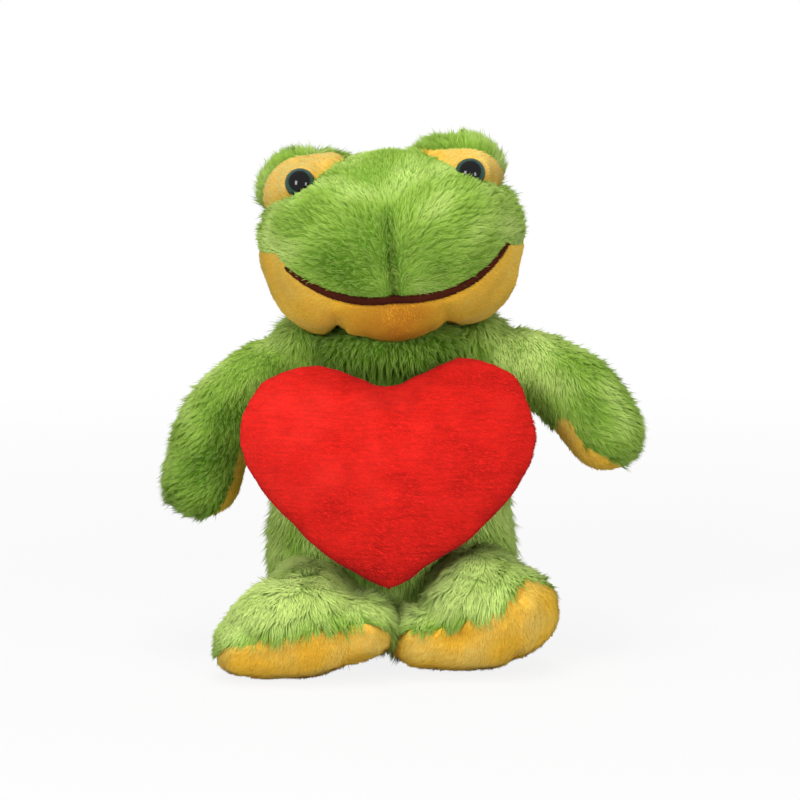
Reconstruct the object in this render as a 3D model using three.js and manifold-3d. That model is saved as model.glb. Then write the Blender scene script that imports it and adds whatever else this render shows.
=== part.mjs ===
// A seated plush frog that holds a heart cushion: sewn panels over stuffing, in millimetres,
// +Z up, the frog facing -Y. Left and right are the frog's own, so its left is +X.
import * as THREE from 'three';
import Module from 'manifold-3d';
import { mergeVertices } from 'three/addons/utils/BufferGeometryUtils.js';

const wasm = await Module();
wasm.setup();

// Cloth, thread and clearances
const plushWall = 4;
const shortPileWall = 2.5;
const seamGap = 0.3;
const turningGap = 0.1;
const seatFlatDepth = 0.5;
const weldDistance = 0.0005;
const overrun = 200;

// Torso, a pear that is heaviest at the seat
const torsoHeight = 145;
const torsoHalfWidth = 57;
const torsoHalfDepth = 42;
const torsoSeamBack = 6;
const pelletFill = 30;
const torsoProfileShares = [
  [0, 0], [0.36, 0.001], [0.7, 0.03], [0.92, 0.12], [1, 0.29], [0.97, 0.44], [0.88, 0.62],
  [0.79, 0.78], [0.72, 0.89], [0.6, 0.975], [0, 1],
];

// Neck, a firm ball of filling that the head turns and nods on
const neckRadius = 20;
const neckRise = 2;

// Head, measured from its own centre and rolled to the frog's right
const headForward = 8;
const headRise = 45;
const headRoll = -4.2;
const headSeamBack = 12;
const skullRadii = [55, 40, 38];
const skullBack = 8;
const skullDrop = 2;
const snoutRadii = [45, 46, 38];
const snoutSpread = 13;
const snoutForward = 14;
const snoutDrop = 5;
const cheekRadii = [27, 38, 30];
const cheekSpread = 33;
const cheekForward = 6;
const cheekDrop = 2;
const chinRadii = [50, 45, 30];
const chinForward = 7;
const chinDrop = 15;
const jowlRadii = [29, 39, 28];
const jowlSpread = 30;
const jowlForward = 5;
const jowlDrop = 14;

// Mouth, a brown cord sewn under the snout's lip
const mouthHalfWidth = 49;
const mouthDrop = 23;
const mouthRise = 16;
const mouthCordRadius = 1.7;
const mouthCordSinkShare = 0.4;
const cordEndShare = 0.4;

// Eye hoods, their golden patches and the safety eyes
const hoodRadii = [20, 22, 20];
const hoodSpread = 38;
const hoodForward = 6;
const hoodRise = 22;
const patchEdgeShare = 0.6;
const eyeRadius = 6.75;
const eyeDomeHeight = 4.8;
const eyeRimHeight = 1;
const eyeSink = 1.5;
const eyeOutShare = 0.03;
const eyeUpShare = 0.33;
const shankRadius = 1.9;
const shankPastWasher = 2.5;
const washerRadius = 7;
const washerThickness = 1.5;

// Arms, ball-ended at the shoulder; a hand's middle is reached out, forward and down from there
const shoulderRadius = 18;
const shoulderDrop = 15;
const shoulderInset = 4;
const armRadius = 20;
const armRadiusShares = [0.89, 0.96, 1, 0.97];
const palmStartShare = 0.55;
const armRaised = 35;
const armLowered = 10;
const restingArmReach = [49, 10, 51];
const restingArmShares = [[0, 0, 0], [0.49, 0.4, 0.2], [0.84, 0.8, 0.55], [1, 1, 1]];
const openArmRaised = 22;
const openArmLowered = 20;
const openArmReach = [58, 10, 29];
const openArmShares = [[0, 0, 0], [0.41, 0.4, 0.2], [0.76, 0.8, 0.55], [1, 1, 1]];

// Legs, hinged at the front edge of the seat, and their three-lobed feet
const hipSpread = 32;
const hipForward = 22;
const hipHeight = 6;
const legSwingDown = 70;
const legRadius = 25;
const legRadiusShares = [0.92, 1, 1, 0.96];
const thighBack = 2;
const rightFootSpread = 41;
const rightFootForward = 62;
const rightFootTilt = 0;
const leftFootSpread = 42;
const leftFootForward = 52;
const leftFootTilt = 13;
const soleRadii = [34, 27, 24];
const toeRadii = [17, 22, 17];
const toeSpread = 23;
const toeForward = 3;
const soleSlope = 42;
const soleTopRise = 1;

// Heart cushion and the thread tack that holds it to the chest
const heartHalfWidth = 66;
const heartHalfThickness = 16;
const heartTopDrop = 6;
const heartTipHeight = 36;
const heartLean = 13;
const heartBellyGap = 2;
const heartFullnessShare = 0.6;
const heartRimShares = [
  [0, 0.87], [0.17, 0.955], [0.38, 0.995], [0.58, 0.99], [0.8, 0.93], [0.95, 0.81], [1, 0.68],
  [0.94, 0.53], [0.8, 0.39], [0.6, 0.26], [0.4, 0.155], [0.18, 0.05], [0, 0],
];
const heartCentreShare = 0.5;
const tackRadius = 2.5;
const tackHeight = 104;

// How finely the round forms are made
const bodySides = 18;
const bodyRings = 9;
const fillingSides = 9;
const fillingRings = 5;
const smallSides = 12;
const smallRings = 6;
const cordSides = 8;
const limbSides = 12;
const limbSteps = 5;
const capSteps = 3;
const mouthSteps = 6;
const heartSides = 32;
const heartFillingSides = 16;
const heartRings = 8;
const tackSteps = 2;
const legSwingShares = [0, 0.15, 0.35, 0.65, 1];

const degree = Math.PI / 180;

// Plush and trim as they look from a step away
function cloth(name, color, roughness) {
  return new THREE.MeshStandardMaterial({ name, color, roughness, metalness: 0 });
}
const greenPlush = cloth('green_plush', '#7cb342', 0.95);
const goldenMinky = cloth('golden_minky', '#e0aa30', 0.9);
const redMinky = cloth('red_minky', '#d81f1a', 0.85);
const brownCord = cloth('brown_cord', '#4a1e14', 0.8);
const eyePlastic = cloth('eye_plastic', '#0a0a0c', 0.15);
const washerPlastic = cloth('washer_plastic', '#e8e6df', 0.5);
const whiteFilling = cloth('white_filling', '#f2f0ea', 1);
const pelletCloth = cloth('pellet_cloth', '#d9d4c4', 0.9);
const tackThread = cloth('tack_thread', '#8fae4c', 0.8);

// A closed geometry as a solid, with its shared points welded and its faces pointing out
function solidOf(geometry) {
  const bare = geometry.clone();
  bare.deleteAttribute('normal');
  bare.deleteAttribute('uv');
  const welded = mergeVertices(bare, weldDistance);
  const points = new Float32Array(welded.getAttribute('position').array);
  const corners = welded.index.array;
  const faces = [];
  let volume = 0;
  for (let i = 0; i < corners.length; i += 3) {
    const face = [corners[i], corners[i + 1], corners[i + 2]];
    if (new Set(face).size < 3) continue;
    const [a, b, c] = face.map((n) => new THREE.Vector3().fromArray(points, n * 3));
    volume += a.dot(b.cross(c));
    faces.push(face);
  }
  if (volume < 0) faces.forEach((face) => face.reverse());
  const triVerts = new Uint32Array(faces.flat());
  return new wasm.Manifold(new wasm.Mesh({ numProp: 3, vertProperties: points, triVerts }));
}

// A solid's own mesh as a geometry, moved by a matrix
function geometryOf(solid, matrix = new THREE.Matrix4()) {
  const mesh = solid.getMesh();
  const geometry = new THREE.BufferGeometry();
  const points = new Float32Array(mesh.vertProperties);
  geometry.setAttribute('position', new THREE.BufferAttribute(points, 3));
  geometry.setIndex(new THREE.BufferAttribute(new Uint32Array(mesh.triVerts), 1));
  return geometry.applyMatrix4(matrix);
}

function moved(solid, matrix) {
  return solidOf(geometryOf(solid, matrix));
}

function joined(solids) {
  return solids.reduce((all, one) => all.add(one));
}

// The largest connected part of a cut piece, without the offcuts
function withoutOffcuts(geometry) {
  const corners = geometry.index.array;
  const points = geometry.getAttribute('position').array;
  const parent = Array.from({ length: points.length / 3 }, (_, n) => n);
  const root = (n) => {
    while (parent[n] !== n) {
      parent[n] = parent[parent[n]];
      n = parent[n];
    }
    return n;
  };
  for (let i = 0; i < corners.length; i += 3) {
    parent[root(corners[i + 1])] = root(corners[i]);
    parent[root(corners[i + 2])] = root(corners[i]);
  }
  const volumes = new Map();
  for (let i = 0; i < corners.length; i += 3) {
    const [a, b, c] = [0, 1, 2].map((k) => (
      new THREE.Vector3().fromArray(points, corners[i + k] * 3)));
    const key = root(corners[i]);
    volumes.set(key, (volumes.get(key) ?? 0) + a.dot(b.cross(c)));
  }
  const [largest] = [...volumes].sort((one, other) => other[1] - one[1])[0];
  const kept = [];
  for (let i = 0; i < corners.length; i += 3) {
    if (root(corners[i]) === largest) kept.push(corners[i], corners[i + 1], corners[i + 2]);
  }
  geometry.setIndex(kept);
  return geometry;
}

// A named mesh of one solid, added to its group
function addPiece(group, name, material, solid) {
  const geometry = withoutOffcuts(geometryOf(solid));
  geometry.computeVertexNormals();
  const mesh = new THREE.Mesh(geometry, material);
  mesh.name = name;
  group.add(mesh);
}

function shift(x, y, z) {
  return new THREE.Matrix4().makeTranslation(x, y, z);
}

function turnAbout(pivot, axis, angle) {
  const turn = new THREE.Matrix4().makeRotationAxis(axis, angle * degree);
  return shift(...pivot).multiply(turn).multiply(shift(...pivot.map((value) => -value)));
}

// An ellipsoid whose radii are drawn in by the inset, with fewer faces where filling meets cloth
function ellipsoid(centre, radii, inset = 0, sides = bodySides, rings = bodyRings) {
  const inner = inset > 0;
  const ball = new THREE.SphereGeometry(1, inner ? fillingSides : sides,
    inner ? fillingRings : rings);
  ball.scale(...radii.map((radius) => radius - inset));
  return solidOf(ball.translate(...centre));
}

function sphere(centre, radius) {
  return ellipsoid(centre, [radius, radius, radius]);
}

// A round hollow whose flats, too, clear a turning ball of the given radius
function socket(centre, radius) {
  const flats = Math.cos(Math.PI / bodySides) * Math.cos(Math.PI / 2 / bodyRings);
  return sphere(centre, (radius + turningGap) / flats);
}

function box(low, high) {
  const size = high.map((value, n) => value - low[n]);
  const centre = high.map((value, n) => (value + low[n]) / 2);
  return solidOf(new THREE.BoxGeometry(...size).translate(...centre));
}

// A tube that swells and tapers along a curve, with a round cap at each end
function stuffedTube(curve, radiusAt, inset = 0, outerSides = limbSides, steps = limbSteps) {
  const sides = inset > 0 ? fillingSides : outerSides;
  const length = curve.getLength();
  const first = radiusAt(0) - inset;
  const last = radiusAt(1) - inset;
  const profile = [];
  for (let n = 0; n < capSteps; n += 1) {
    const angle = (n / capSteps) * Math.PI / 2;
    profile.push(new THREE.Vector2(first * Math.sin(angle), -first * Math.cos(angle)));
  }
  for (let n = 0; n <= steps; n += 1) {
    profile.push(new THREE.Vector2(radiusAt(n / steps) - inset, (n / steps) * length));
  }
  for (let n = 1; n <= capSteps; n += 1) {
    const angle = (n / capSteps) * Math.PI / 2;
    profile.push(new THREE.Vector2(last * Math.cos(angle), length + last * Math.sin(angle)));
  }
  const tube = new THREE.LatheGeometry(profile, sides);
  const points = tube.getAttribute('position');
  const point = new THREE.Vector3();
  for (let n = 0; n < points.count; n += 1) {
    point.fromBufferAttribute(points, n);
    const along = THREE.MathUtils.clamp(point.y / length, 0, 1);
    const tangent = curve.getTangentAt(along);
    const level = Math.abs(tangent.y) > Math.abs(tangent.x) + Math.abs(tangent.z)
      ? new THREE.Vector3(1, 0, 0) : new THREE.Vector3(0, 1, 0);
    const side = level.addScaledVector(tangent, -tangent.dot(level)).normalize();
    const up = new THREE.Vector3().crossVectors(tangent, side);
    const place = curve.getPointAt(along);
    place.addScaledVector(tangent, point.y - along * length);
    place.addScaledVector(side, point.x).addScaledVector(up, point.z);
    points.setXYZ(n, place.x, place.y, place.z);
  }
  return solidOf(tube);
}

// The radius at a share of a limb's length, from evenly spaced shares of its full radius
function tapered(radius, shares) {
  return (along) => {
    const at = along * (shares.length - 1);
    const n = Math.min(Math.floor(at), shares.length - 2);
    return radius * THREE.MathUtils.lerp(shares[n], shares[n + 1], at - n);
  };
}

const toy = new THREE.Group();

// Torso form: a turned pear, drawn in to its depth
const torsoProfile = (inset) => torsoProfileShares.map(([radiusShare, heightShare]) => {
  const middle = torsoHeight / 2;
  const height = heightShare * torsoHeight - seatFlatDepth;
  const squeeze = 1 - inset / middle;
  const radius = Math.max(radiusShare * torsoHalfWidth * (1 - inset / torsoHalfWidth), 0);
  return new THREE.Vector2(radius, middle + (height - middle) * squeeze);
});

function torsoForm(inset = 0) {
  const pear = new THREE.LatheGeometry(torsoProfile(inset), inset > 0 ? fillingSides : bodySides);
  pear.rotateX(Math.PI / 2);
  const depthRatio = (torsoHalfDepth - inset) / (torsoHalfWidth - inset);
  return solidOf(pear.scale(1, depthRatio, 1));
}

function torsoRadiusAt(height) {
  const profile = torsoProfile(0);
  const above = profile.findIndex((point) => point.y >= height);
  const [low, high] = [profile[above - 1], profile[above]];
  return THREE.MathUtils.lerp(low.x, high.x, (height - low.y) / (high.y - low.y));
}

function torsoFrontAt(x, height) {
  const radius = torsoRadiusAt(height);
  return -(torsoHalfDepth / torsoHalfWidth) * Math.sqrt(radius ** 2 - x ** 2);
}

// The floor's side of everything, cut flat where the toy rests
const belowFloor = box([-overrun, -overrun, -overrun], [overrun, overrun, 0]);
const behindTorsoSeam = (offset) => box([-overrun, torsoSeamBack + offset, -overrun],
  [overrun, overrun, overrun]);
const beforeTorsoSeam = (offset) => box([-overrun, -overrun, -overrun],
  [overrun, torsoSeamBack - offset, overrun]);

const neckPivot = [0, 0, torsoHeight + neckRise];
const shoulderHeight = torsoHeight - shoulderDrop;
const shoulderSpread = torsoRadiusAt(shoulderHeight) - shoulderInset;
const shoulderAt = (side) => [side * shoulderSpread, 0, shoulderHeight];
const hipAt = (side) => [side * hipSpread, -hipForward, hipHeight];
const tackAt = [0, torsoFrontAt(0, tackHeight), tackHeight];

// Sockets in the torso: the neck's, the shoulders' and the tack's dimple
const sockets = joined([
  socket(neckPivot, neckRadius),
  socket(shoulderAt(-1), shoulderRadius),
  socket(shoulderAt(1), shoulderRadius),
  socket(tackAt, tackRadius),
]);

const torsoGroup = new THREE.Group();
toy.add(torsoGroup);
const torsoShell = torsoForm().subtract(torsoForm(plushWall)).subtract(belowFloor);
const torsoCloth = torsoShell.subtract(sockets);
addPiece(torsoGroup, 'torso_front_panel', greenPlush,
  torsoCloth.intersect(beforeTorsoSeam(seamGap / 2)));
addPiece(torsoGroup, 'torso_back_panel', greenPlush,
  torsoCloth.intersect(behindTorsoSeam(seamGap / 2)));

// Filling of the torso, and the bag of pellets that weights its seat
const torsoInside = torsoForm(plushWall + seamGap).subtract(sockets);
const bagTop = pelletFill + plushWall;
addPiece(torsoGroup, 'pellet_bag', pelletCloth,
  torsoInside.intersect(box([-overrun, -overrun, -overrun], [overrun, overrun, bagTop])));
addPiece(torsoGroup, 'torso_stuffing', whiteFilling,
  torsoInside.intersect(box([-overrun, -overrun, bagTop + seamGap], [overrun, overrun, overrun])));

const neckGroup = new THREE.Group();
neckGroup.position.set(...neckPivot);
toy.add(neckGroup);
addPiece(neckGroup, 'neck_wad', whiteFilling, sphere([0, 0, 0], neckRadius));

// Head group, with its own centre and roll; its forms are drawn about that centre
const headGroup = new THREE.Group();
headGroup.position.set(0, -headForward, headRise);
headGroup.rotation.y = headRoll * degree;
neckGroup.add(headGroup);
headGroup.updateMatrix();
const neckInHead = new THREE.Vector3().applyMatrix4(headGroup.matrix.clone().invert()).toArray();

function pair(makeOne) {
  return joined([makeOne(-1), makeOne(1)]);
}

function skullForm(inset = 0) {
  const skull = ellipsoid([0, skullBack, -skullDrop], skullRadii, inset);
  const snout = pair((side) => ellipsoid([side * snoutSpread, -snoutForward, -snoutDrop],
    snoutRadii, inset));
  const cheeks = pair((side) => ellipsoid([side * cheekSpread, -cheekForward, -cheekDrop],
    cheekRadii, inset));
  return joined([skull, snout, cheeks]);
}

function jawForm(inset = 0) {
  const chin = ellipsoid([0, -chinForward, -chinDrop], chinRadii, inset);
  const jowls = pair((side) => ellipsoid([side * jowlSpread, -jowlForward, -jowlDrop],
    jowlRadii, inset));
  return joined([chin, jowls]);
}

const hoodCentre = (side) => [side * hoodSpread, -hoodForward, hoodRise];
const hoodForm = (side, inset = 0) => ellipsoid(hoodCentre(side), hoodRadii, inset,
  smallSides, smallRings);

// Everything under the mouth's line, which rises to the cheeks and runs level behind them
function underMouth(offset) {
  const line = new THREE.Shape();
  const height = (x) => mouthRise * (x / mouthHalfWidth) ** 2 - mouthDrop + offset;
  line.moveTo(-overrun, height(mouthHalfWidth));
  for (let n = -mouthSteps; n <= mouthSteps; n += 1) {
    const x = (n / mouthSteps) * mouthHalfWidth;
    line.lineTo(x, height(x));
  }
  line.lineTo(overrun, height(mouthHalfWidth));
  line.lineTo(overrun, -overrun);
  line.lineTo(-overrun, -overrun);
  const block = new THREE.ExtrudeGeometry(line, { depth: overrun * 2, bevelEnabled: false });
  return solidOf(block.rotateX(Math.PI / 2).translate(0, overrun, 0));
}

// The mouth cord lies on the snout's lower edge and thins to nothing at its ends
function snoutFrontAt(x, z) {
  const across = Math.abs(x) < snoutSpread ? 0 : (Math.abs(x) - snoutSpread) / snoutRadii[0];
  const tall = (z + snoutDrop) / snoutRadii[2];
  return -snoutForward - snoutRadii[1] * Math.sqrt(1 - across ** 2 - tall ** 2);
}

const mouthPoints = [];
for (let n = -mouthSteps; n <= mouthSteps; n += 1) {
  const x = (n / mouthSteps) * mouthHalfWidth;
  const z = mouthRise * (x / mouthHalfWidth) ** 2 - mouthDrop;
  const y = snoutFrontAt(x, z) + mouthCordRadius * mouthCordSinkShare;
  mouthPoints.push(new THREE.Vector3(x, y, z));
}
const mouthCurve = new THREE.CatmullRomCurve3(mouthPoints);
const cordRadiusAt = (along) => mouthCordRadius
  * THREE.MathUtils.lerp(cordEndShare, 1, Math.sin(along * Math.PI));
const mouthCord = (grown) => stuffedTube(mouthCurve, cordRadiusAt, -grown, cordSides,
  mouthSteps * 2);

// Safety eye: a domed button on a shank, held by a washer behind the patch
const eyeDirection = (side) => new THREE.Vector3(side * eyeOutShare, -1, eyeUpShare).normalize();

function eyePlacement(side) {
  const direction = eyeDirection(side);
  const reach = 1 / Math.hypot(...direction.toArray().map((part, n) => part / hoodRadii[n]));
  const centre = new THREE.Vector3(...hoodCentre(side)).addScaledVector(direction, reach);
  const turn = new THREE.Quaternion().setFromUnitVectors(new THREE.Vector3(0, 1, 0), direction);
  return new THREE.Matrix4().compose(centre, turn, new THREE.Vector3(1, 1, 1));
}

function lathe(points, side) {
  const profile = points.map(([radius, height]) => new THREE.Vector2(radius, height));
  const turned = new THREE.LatheGeometry(profile, smallSides);
  return solidOf(turned.applyMatrix4(eyePlacement(side)));
}

const shankLength = plushWall + seamGap + washerThickness + shankPastWasher;
function eyeButton(side, grown = 0) {
  const points = [[0, -shankLength - grown], [shankRadius + grown, -shankLength - grown],
    [shankRadius + grown, -eyeSink - grown], [eyeRadius + grown, -eyeSink - grown],
    [eyeRadius + grown, eyeRimHeight - eyeSink]];
  for (let n = 1; n <= capSteps; n += 1) {
    const angle = (n / capSteps) * Math.PI / 2;
    points.push([(eyeRadius + grown) * Math.cos(angle),
      eyeRimHeight - eyeSink + (eyeDomeHeight + grown) * Math.sin(angle)]);
  }
  return lathe(points, side);
}

const washerTop = -plushWall - seamGap;
function washer(side, grown = 0) {
  const hole = shankRadius + seamGap - grown;
  const low = washerTop - washerThickness - grown;
  const high = washerTop + grown;
  const rim = washerRadius + grown;
  return lathe([[hole, low], [rim, low], [rim, high], [hole, high], [hole, low]], side);
}

const headSides = [['right', -1], ['left', 1]];
const inHeadFront = (offset) => box([-overrun, -overrun, -overrun],
  [overrun, headSeamBack - offset, overrun]);
const inHeadBack = (offset) => box([-overrun, headSeamBack + offset, -overrun],
  [overrun, overrun, overrun]);
const neckSocket = socket(neckInHead, neckRadius);
// The head's hollow: the skull above the mouth's line and behind the seam, the jaw below, the hoods
const headInside = (gap) => joined([
  skullForm(plushWall + gap).subtract(underMouth(gap).intersect(inHeadFront(-gap))),
  jawForm(shortPileWall + gap).intersect(underMouth(plushWall - gap)),
  ...headSides.map(([, side]) => hoodForm(side, plushWall + gap)),
]);
const cordGroove = mouthCord(seamGap);
const fullSkull = skullForm();
const fullJaw = jawForm();
const headHollow = headInside(0);

const eyeHollows = pair((side) => eyeButton(side, seamGap).add(washer(side, seamGap)));
addPiece(headGroup, 'snout_panel', greenPlush, fullSkull.subtract(headHollow)
  .subtract(underMouth(seamGap / 2)).subtract(cordGroove).subtract(eyeHollows)
  .intersect(inHeadFront(seamGap / 2)));
addPiece(headGroup, 'jaw_panel', goldenMinky, fullJaw.subtract(headHollow)
  .intersect(underMouth(-seamGap / 2)).subtract(cordGroove).subtract(neckSocket)
  .intersect(inHeadFront(seamGap / 2)));
addPiece(headGroup, 'head_back_panel', greenPlush, fullSkull.add(fullJaw).subtract(headHollow)
  .subtract(neckSocket).intersect(inHeadBack(seamGap / 2)));
addPiece(headGroup, 'mouth_cord', brownCord, mouthCord(0));

addPiece(headGroup, 'head_stuffing', whiteFilling,
  headInside(seamGap).subtract(neckSocket).subtract(cordGroove).subtract(eyeHollows));
for (const [word, side] of headSides) {
  const patchEdge = -hoodForward - hoodRadii[1] * patchEdgeShare;
  const before = (offset) => box([-overrun, -overrun, -overrun],
    [overrun, patchEdge - offset, overrun]);
  const behind = (offset) => box([-overrun, patchEdge + offset, -overrun],
    [overrun, overrun, overrun]);
  const hoodCloth = hoodForm(side).subtract(skullForm(-seamGap)).subtract(headHollow)
    .subtract(eyeHollows);
  addPiece(headGroup, `eye_hood_${word}`, greenPlush, hoodCloth.intersect(behind(seamGap / 2)));
  addPiece(headGroup, `eye_patch_${word}`, goldenMinky, hoodCloth.intersect(before(seamGap / 2)));
  addPiece(headGroup, `eye_${word}`, eyePlastic, eyeButton(side));
  addPiece(headGroup, `eye_washer_${word}`, washerPlastic, washer(side));
}

// The torso as a limb meets it, turned back to each of the given angles of the limb's swing
function sweptTorso(pivot, axis, angles, kept) {
  let solid = torsoForm(-seamGap);
  if (kept) solid = solid.subtract(kept);
  const copies = angles.map((angle) => moved(solid, turnAbout(pivot, axis, -angle)));
  return moved(joined(copies), shift(...pivot.map((value) => -value)));
}

// Everything on the palm's side of an arm's curve
function underSpine(curve, offset) {
  const spine = curve.getPoints(limbSteps);
  const start = spine[0].clone().sub(curve.getTangent(0).multiplyScalar(overrun));
  const end = spine[limbSteps].clone().add(curve.getTangent(1).multiplyScalar(overrun));
  const line = [start, ...spine, end].map((point) => new THREE.Vector2(point.x, point.z - offset));
  const outline = new THREE.Shape(line);
  outline.lineTo(end.x, -overrun * 2);
  outline.lineTo(start.x, -overrun * 2);
  const block = new THREE.ExtrudeGeometry(outline, { depth: overrun * 2, bevelEnabled: false });
  return solidOf(block.rotateX(Math.PI / 2).translate(0, overrun, 0));
}

// Everything past a place on an arm's curve, as far as the hand's end
function pastSpine(curve, along, offset) {
  const tangent = curve.getTangentAt(along);
  const place = curve.getPointAt(along).addScaledVector(tangent, offset);
  const turn = new THREE.Quaternion().setFromUnitVectors(new THREE.Vector3(0, 1, 0), tangent);
  const block = new THREE.BoxGeometry(overrun, overrun, overrun).translate(0, overrun / 2, 0);
  return solidOf(block.applyMatrix4(new THREE.Matrix4().compose(place, turn,
    new THREE.Vector3(1, 1, 1))));
}

const arms = [
  { word: 'right', side: -1, reach: restingArmReach, shares: restingArmShares,
    low: -armLowered, high: armRaised },
  { word: 'left', side: 1, reach: openArmReach, shares: openArmShares,
    low: -openArmLowered, high: openArmRaised },
];
for (const { word, side, reach, shares, low, high } of arms) {
  const group = new THREE.Group();
  const pivot = shoulderAt(side);
  group.position.set(...pivot);
  toy.add(group);
  const curve = new THREE.CatmullRomCurve3(shares.map(([outShare, forwardShare, downShare]) => (
    new THREE.Vector3(side * reach[0] * outShare, -reach[1] * forwardShare,
      -reach[2] * downShare))));
  const radiusAt = tapered(armRadius, armRadiusShares);
  const form = (inset) => stuffedTube(curve, radiusAt, inset);
  const raise = new THREE.Vector3(0, -side, 0);
  const torso = sweptTorso(pivot, raise, [low, 0, high], sphere(pivot, shoulderRadius));
  const shell = form(0).subtract(form(plushWall)).subtract(torso);
  const outer = shell.subtract(underSpine(curve, -seamGap / 2));
  const inner = shell.intersect(underSpine(curve, seamGap / 2));
  addPiece(group, `arm_${word}_outer_panel`, greenPlush, outer);
  addPiece(group, `arm_${word}_inner_panel`, greenPlush,
    inner.subtract(pastSpine(curve, palmStartShare, -seamGap / 2)));
  addPiece(group, `palm_${word}`, goldenMinky,
    inner.intersect(pastSpine(curve, palmStartShare, seamGap / 2)));
  addPiece(group, `arm_${word}_stuffing`, whiteFilling,
    form(plushWall + seamGap).subtract(torso));
}

// Foot: a broad sole with a toe lobe on each side, tilted on its inner edge
function footForm(side, forward, spread, tilt, inset) {
  const balls = [ellipsoid([0, 0, soleRadii[2]], soleRadii, inset, smallSides, smallRings)];
  for (const outward of [-1, 1]) {
    balls.push(ellipsoid([outward * toeSpread, -toeForward, toeRadii[2]], toeRadii, inset,
      smallSides, smallRings));
  }
  const lean = new THREE.Matrix4().makeRotationY(-side * tilt * degree);
  const rise = toeSpread * Math.sin(tilt * degree) - seatFlatDepth;
  return moved(joined(balls), shift(side * spread, -forward, rise).multiply(lean));
}

// The sole's side of a plane that leans from under the heel up to the toes' front
function soleSide(side, forward, spread, tilt, offset) {
  const block = new THREE.BoxGeometry(overrun, overrun, overrun);
  block.translate(0, 0, -overrun / 2 - offset);
  block.rotateX(-soleSlope * degree);
  block.translate(0, -soleRadii[1], soleRadii[2] + soleTopRise);
  block.rotateY(-side * tilt * degree);
  return solidOf(block.translate(side * spread, -forward, 0));
}

const legs = [
  { word: 'right', side: -1, spread: rightFootSpread, forward: rightFootForward,
    tilt: rightFootTilt },
  { word: 'left', side: 1, spread: leftFootSpread, forward: leftFootForward, tilt: leftFootTilt },
];
for (const { word, side, spread, forward, tilt } of legs) {
  const group = new THREE.Group();
  const pivot = hipAt(side);
  group.position.set(...pivot);
  toy.add(group);
  const toHip = shift(...pivot.map((value) => -value));
  const legAxis = legRadius + seatFlatDepth;
  const curve = new THREE.CatmullRomCurve3([
    new THREE.Vector3(side * hipSpread, -hipForward + thighBack, legAxis),
    new THREE.Vector3(side * spread, -forward, legAxis - soleTopRise),
  ]);
  const radiusAt = tapered(legRadius, legRadiusShares);
  const form = (inset) => stuffedTube(curve, radiusAt, inset, limbSides, capSteps)
    .add(footForm(side, forward, spread, tilt, inset));
  const forwardDown = new THREE.Vector3(1, 0, 0);
  const angles = legSwingShares.map((share) => share * legSwingDown);
  const torso = moved(sweptTorso(pivot, forwardDown, angles), shift(...pivot));
  const cut = belowFloor.add(torso);
  const shell = form(0).subtract(form(plushWall)).subtract(cut);
  const sole = (offset) => soleSide(side, forward, spread, tilt, offset);
  addPiece(group, `leg_${word}_panel`, greenPlush,
    moved(shell.subtract(sole(-seamGap / 2)), toHip));
  addPiece(group, `sole_${word}`, goldenMinky, moved(shell.intersect(sole(seamGap / 2)), toHip));
  addPiece(group, `leg_${word}_stuffing`, whiteFilling,
    moved(form(plushWall + seamGap).subtract(cut), toHip));
}

// Heart: a sphere drawn out to the heart's outline, thickest in the middle. It fills the space
// between the chin and the lap
const heartTop = torsoHeight - heartTopDrop;
const heartHeight = heartTop - heartTipHeight;
const heartRim = new THREE.SplineCurve(heartRimShares.map(([acrossShare, upShare]) => (
  new THREE.Vector2(acrossShare * heartHalfWidth, (upShare - heartCentreShare) * heartHeight))));

function heartForm(inset = 0) {
  const ball = new THREE.SphereGeometry(1, inset > 0 ? heartFillingSides : heartSides,
    heartRings);
  ball.rotateX(Math.PI / 2);
  const points = ball.getAttribute('position');
  for (let n = 0; n < points.count; n += 1) {
    const [x, y, z] = [points.getX(n), points.getY(n), points.getZ(n)];
    const out = Math.hypot(x, y);
    const clockwise = Math.atan2(Math.abs(x), y) / Math.PI;
    const rim = heartRim.getPointAt(THREE.MathUtils.clamp(clockwise, 0, 1));
    const reach = out * (1 - inset / rim.length());
    const depth = (heartHalfThickness - inset) * Math.sign(z)
      * (1 - Math.min(out, 1) ** 2) ** heartFullnessShare;
    points.setXYZ(n, Math.sign(x) * rim.x * reach, -depth, rim.y * reach);
  }
  return solidOf(ball);
}

const heartMiddleHeight = heartTop - (1 - heartCentreShare) * heartHeight;
const heartMiddleY = torsoFrontAt(0, heartMiddleHeight) - heartBellyGap - heartHalfThickness;
const heartPlace = shift(0, heartMiddleY - tackAt[1], heartMiddleHeight - tackHeight)
  .multiply(new THREE.Matrix4().makeRotationX(-heartLean * degree));
const heartGroup = new THREE.Group();
heartGroup.position.set(...tackAt);
toy.add(heartGroup);

const heartHalf = (front, offset) => {
  const edge = offset / 2;
  return front ? box([-overrun, -overrun, -overrun], [overrun, -edge, overrun])
    : box([-overrun, edge, -overrun], [overrun, overrun, overrun]);
};
const heartShell = heartForm().subtract(heartForm(shortPileWall));
addPiece(heartGroup, 'heart_front_panel', redMinky,
  moved(heartShell.intersect(heartHalf(true, seamGap)), heartPlace));
addPiece(heartGroup, 'heart_back_panel', redMinky,
  moved(heartShell.intersect(heartHalf(false, seamGap)), heartPlace));
addPiece(heartGroup, 'heart_stuffing', whiteFilling,
  moved(heartForm(shortPileWall + seamGap), heartPlace));

// Thread tack, round where it turns in the chest's dimple
const tackCurve = new THREE.LineCurve3(new THREE.Vector3(),
  new THREE.Vector3(0, -heartHalfThickness, 0));
const tackGrown = moved(heartForm(-seamGap), heartPlace);
addPiece(heartGroup, 'heart_tack', tackThread,
  stuffedTube(tackCurve, () => tackRadius, 0, smallSides, tackSteps).subtract(tackGrown));

export default toy;
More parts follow.
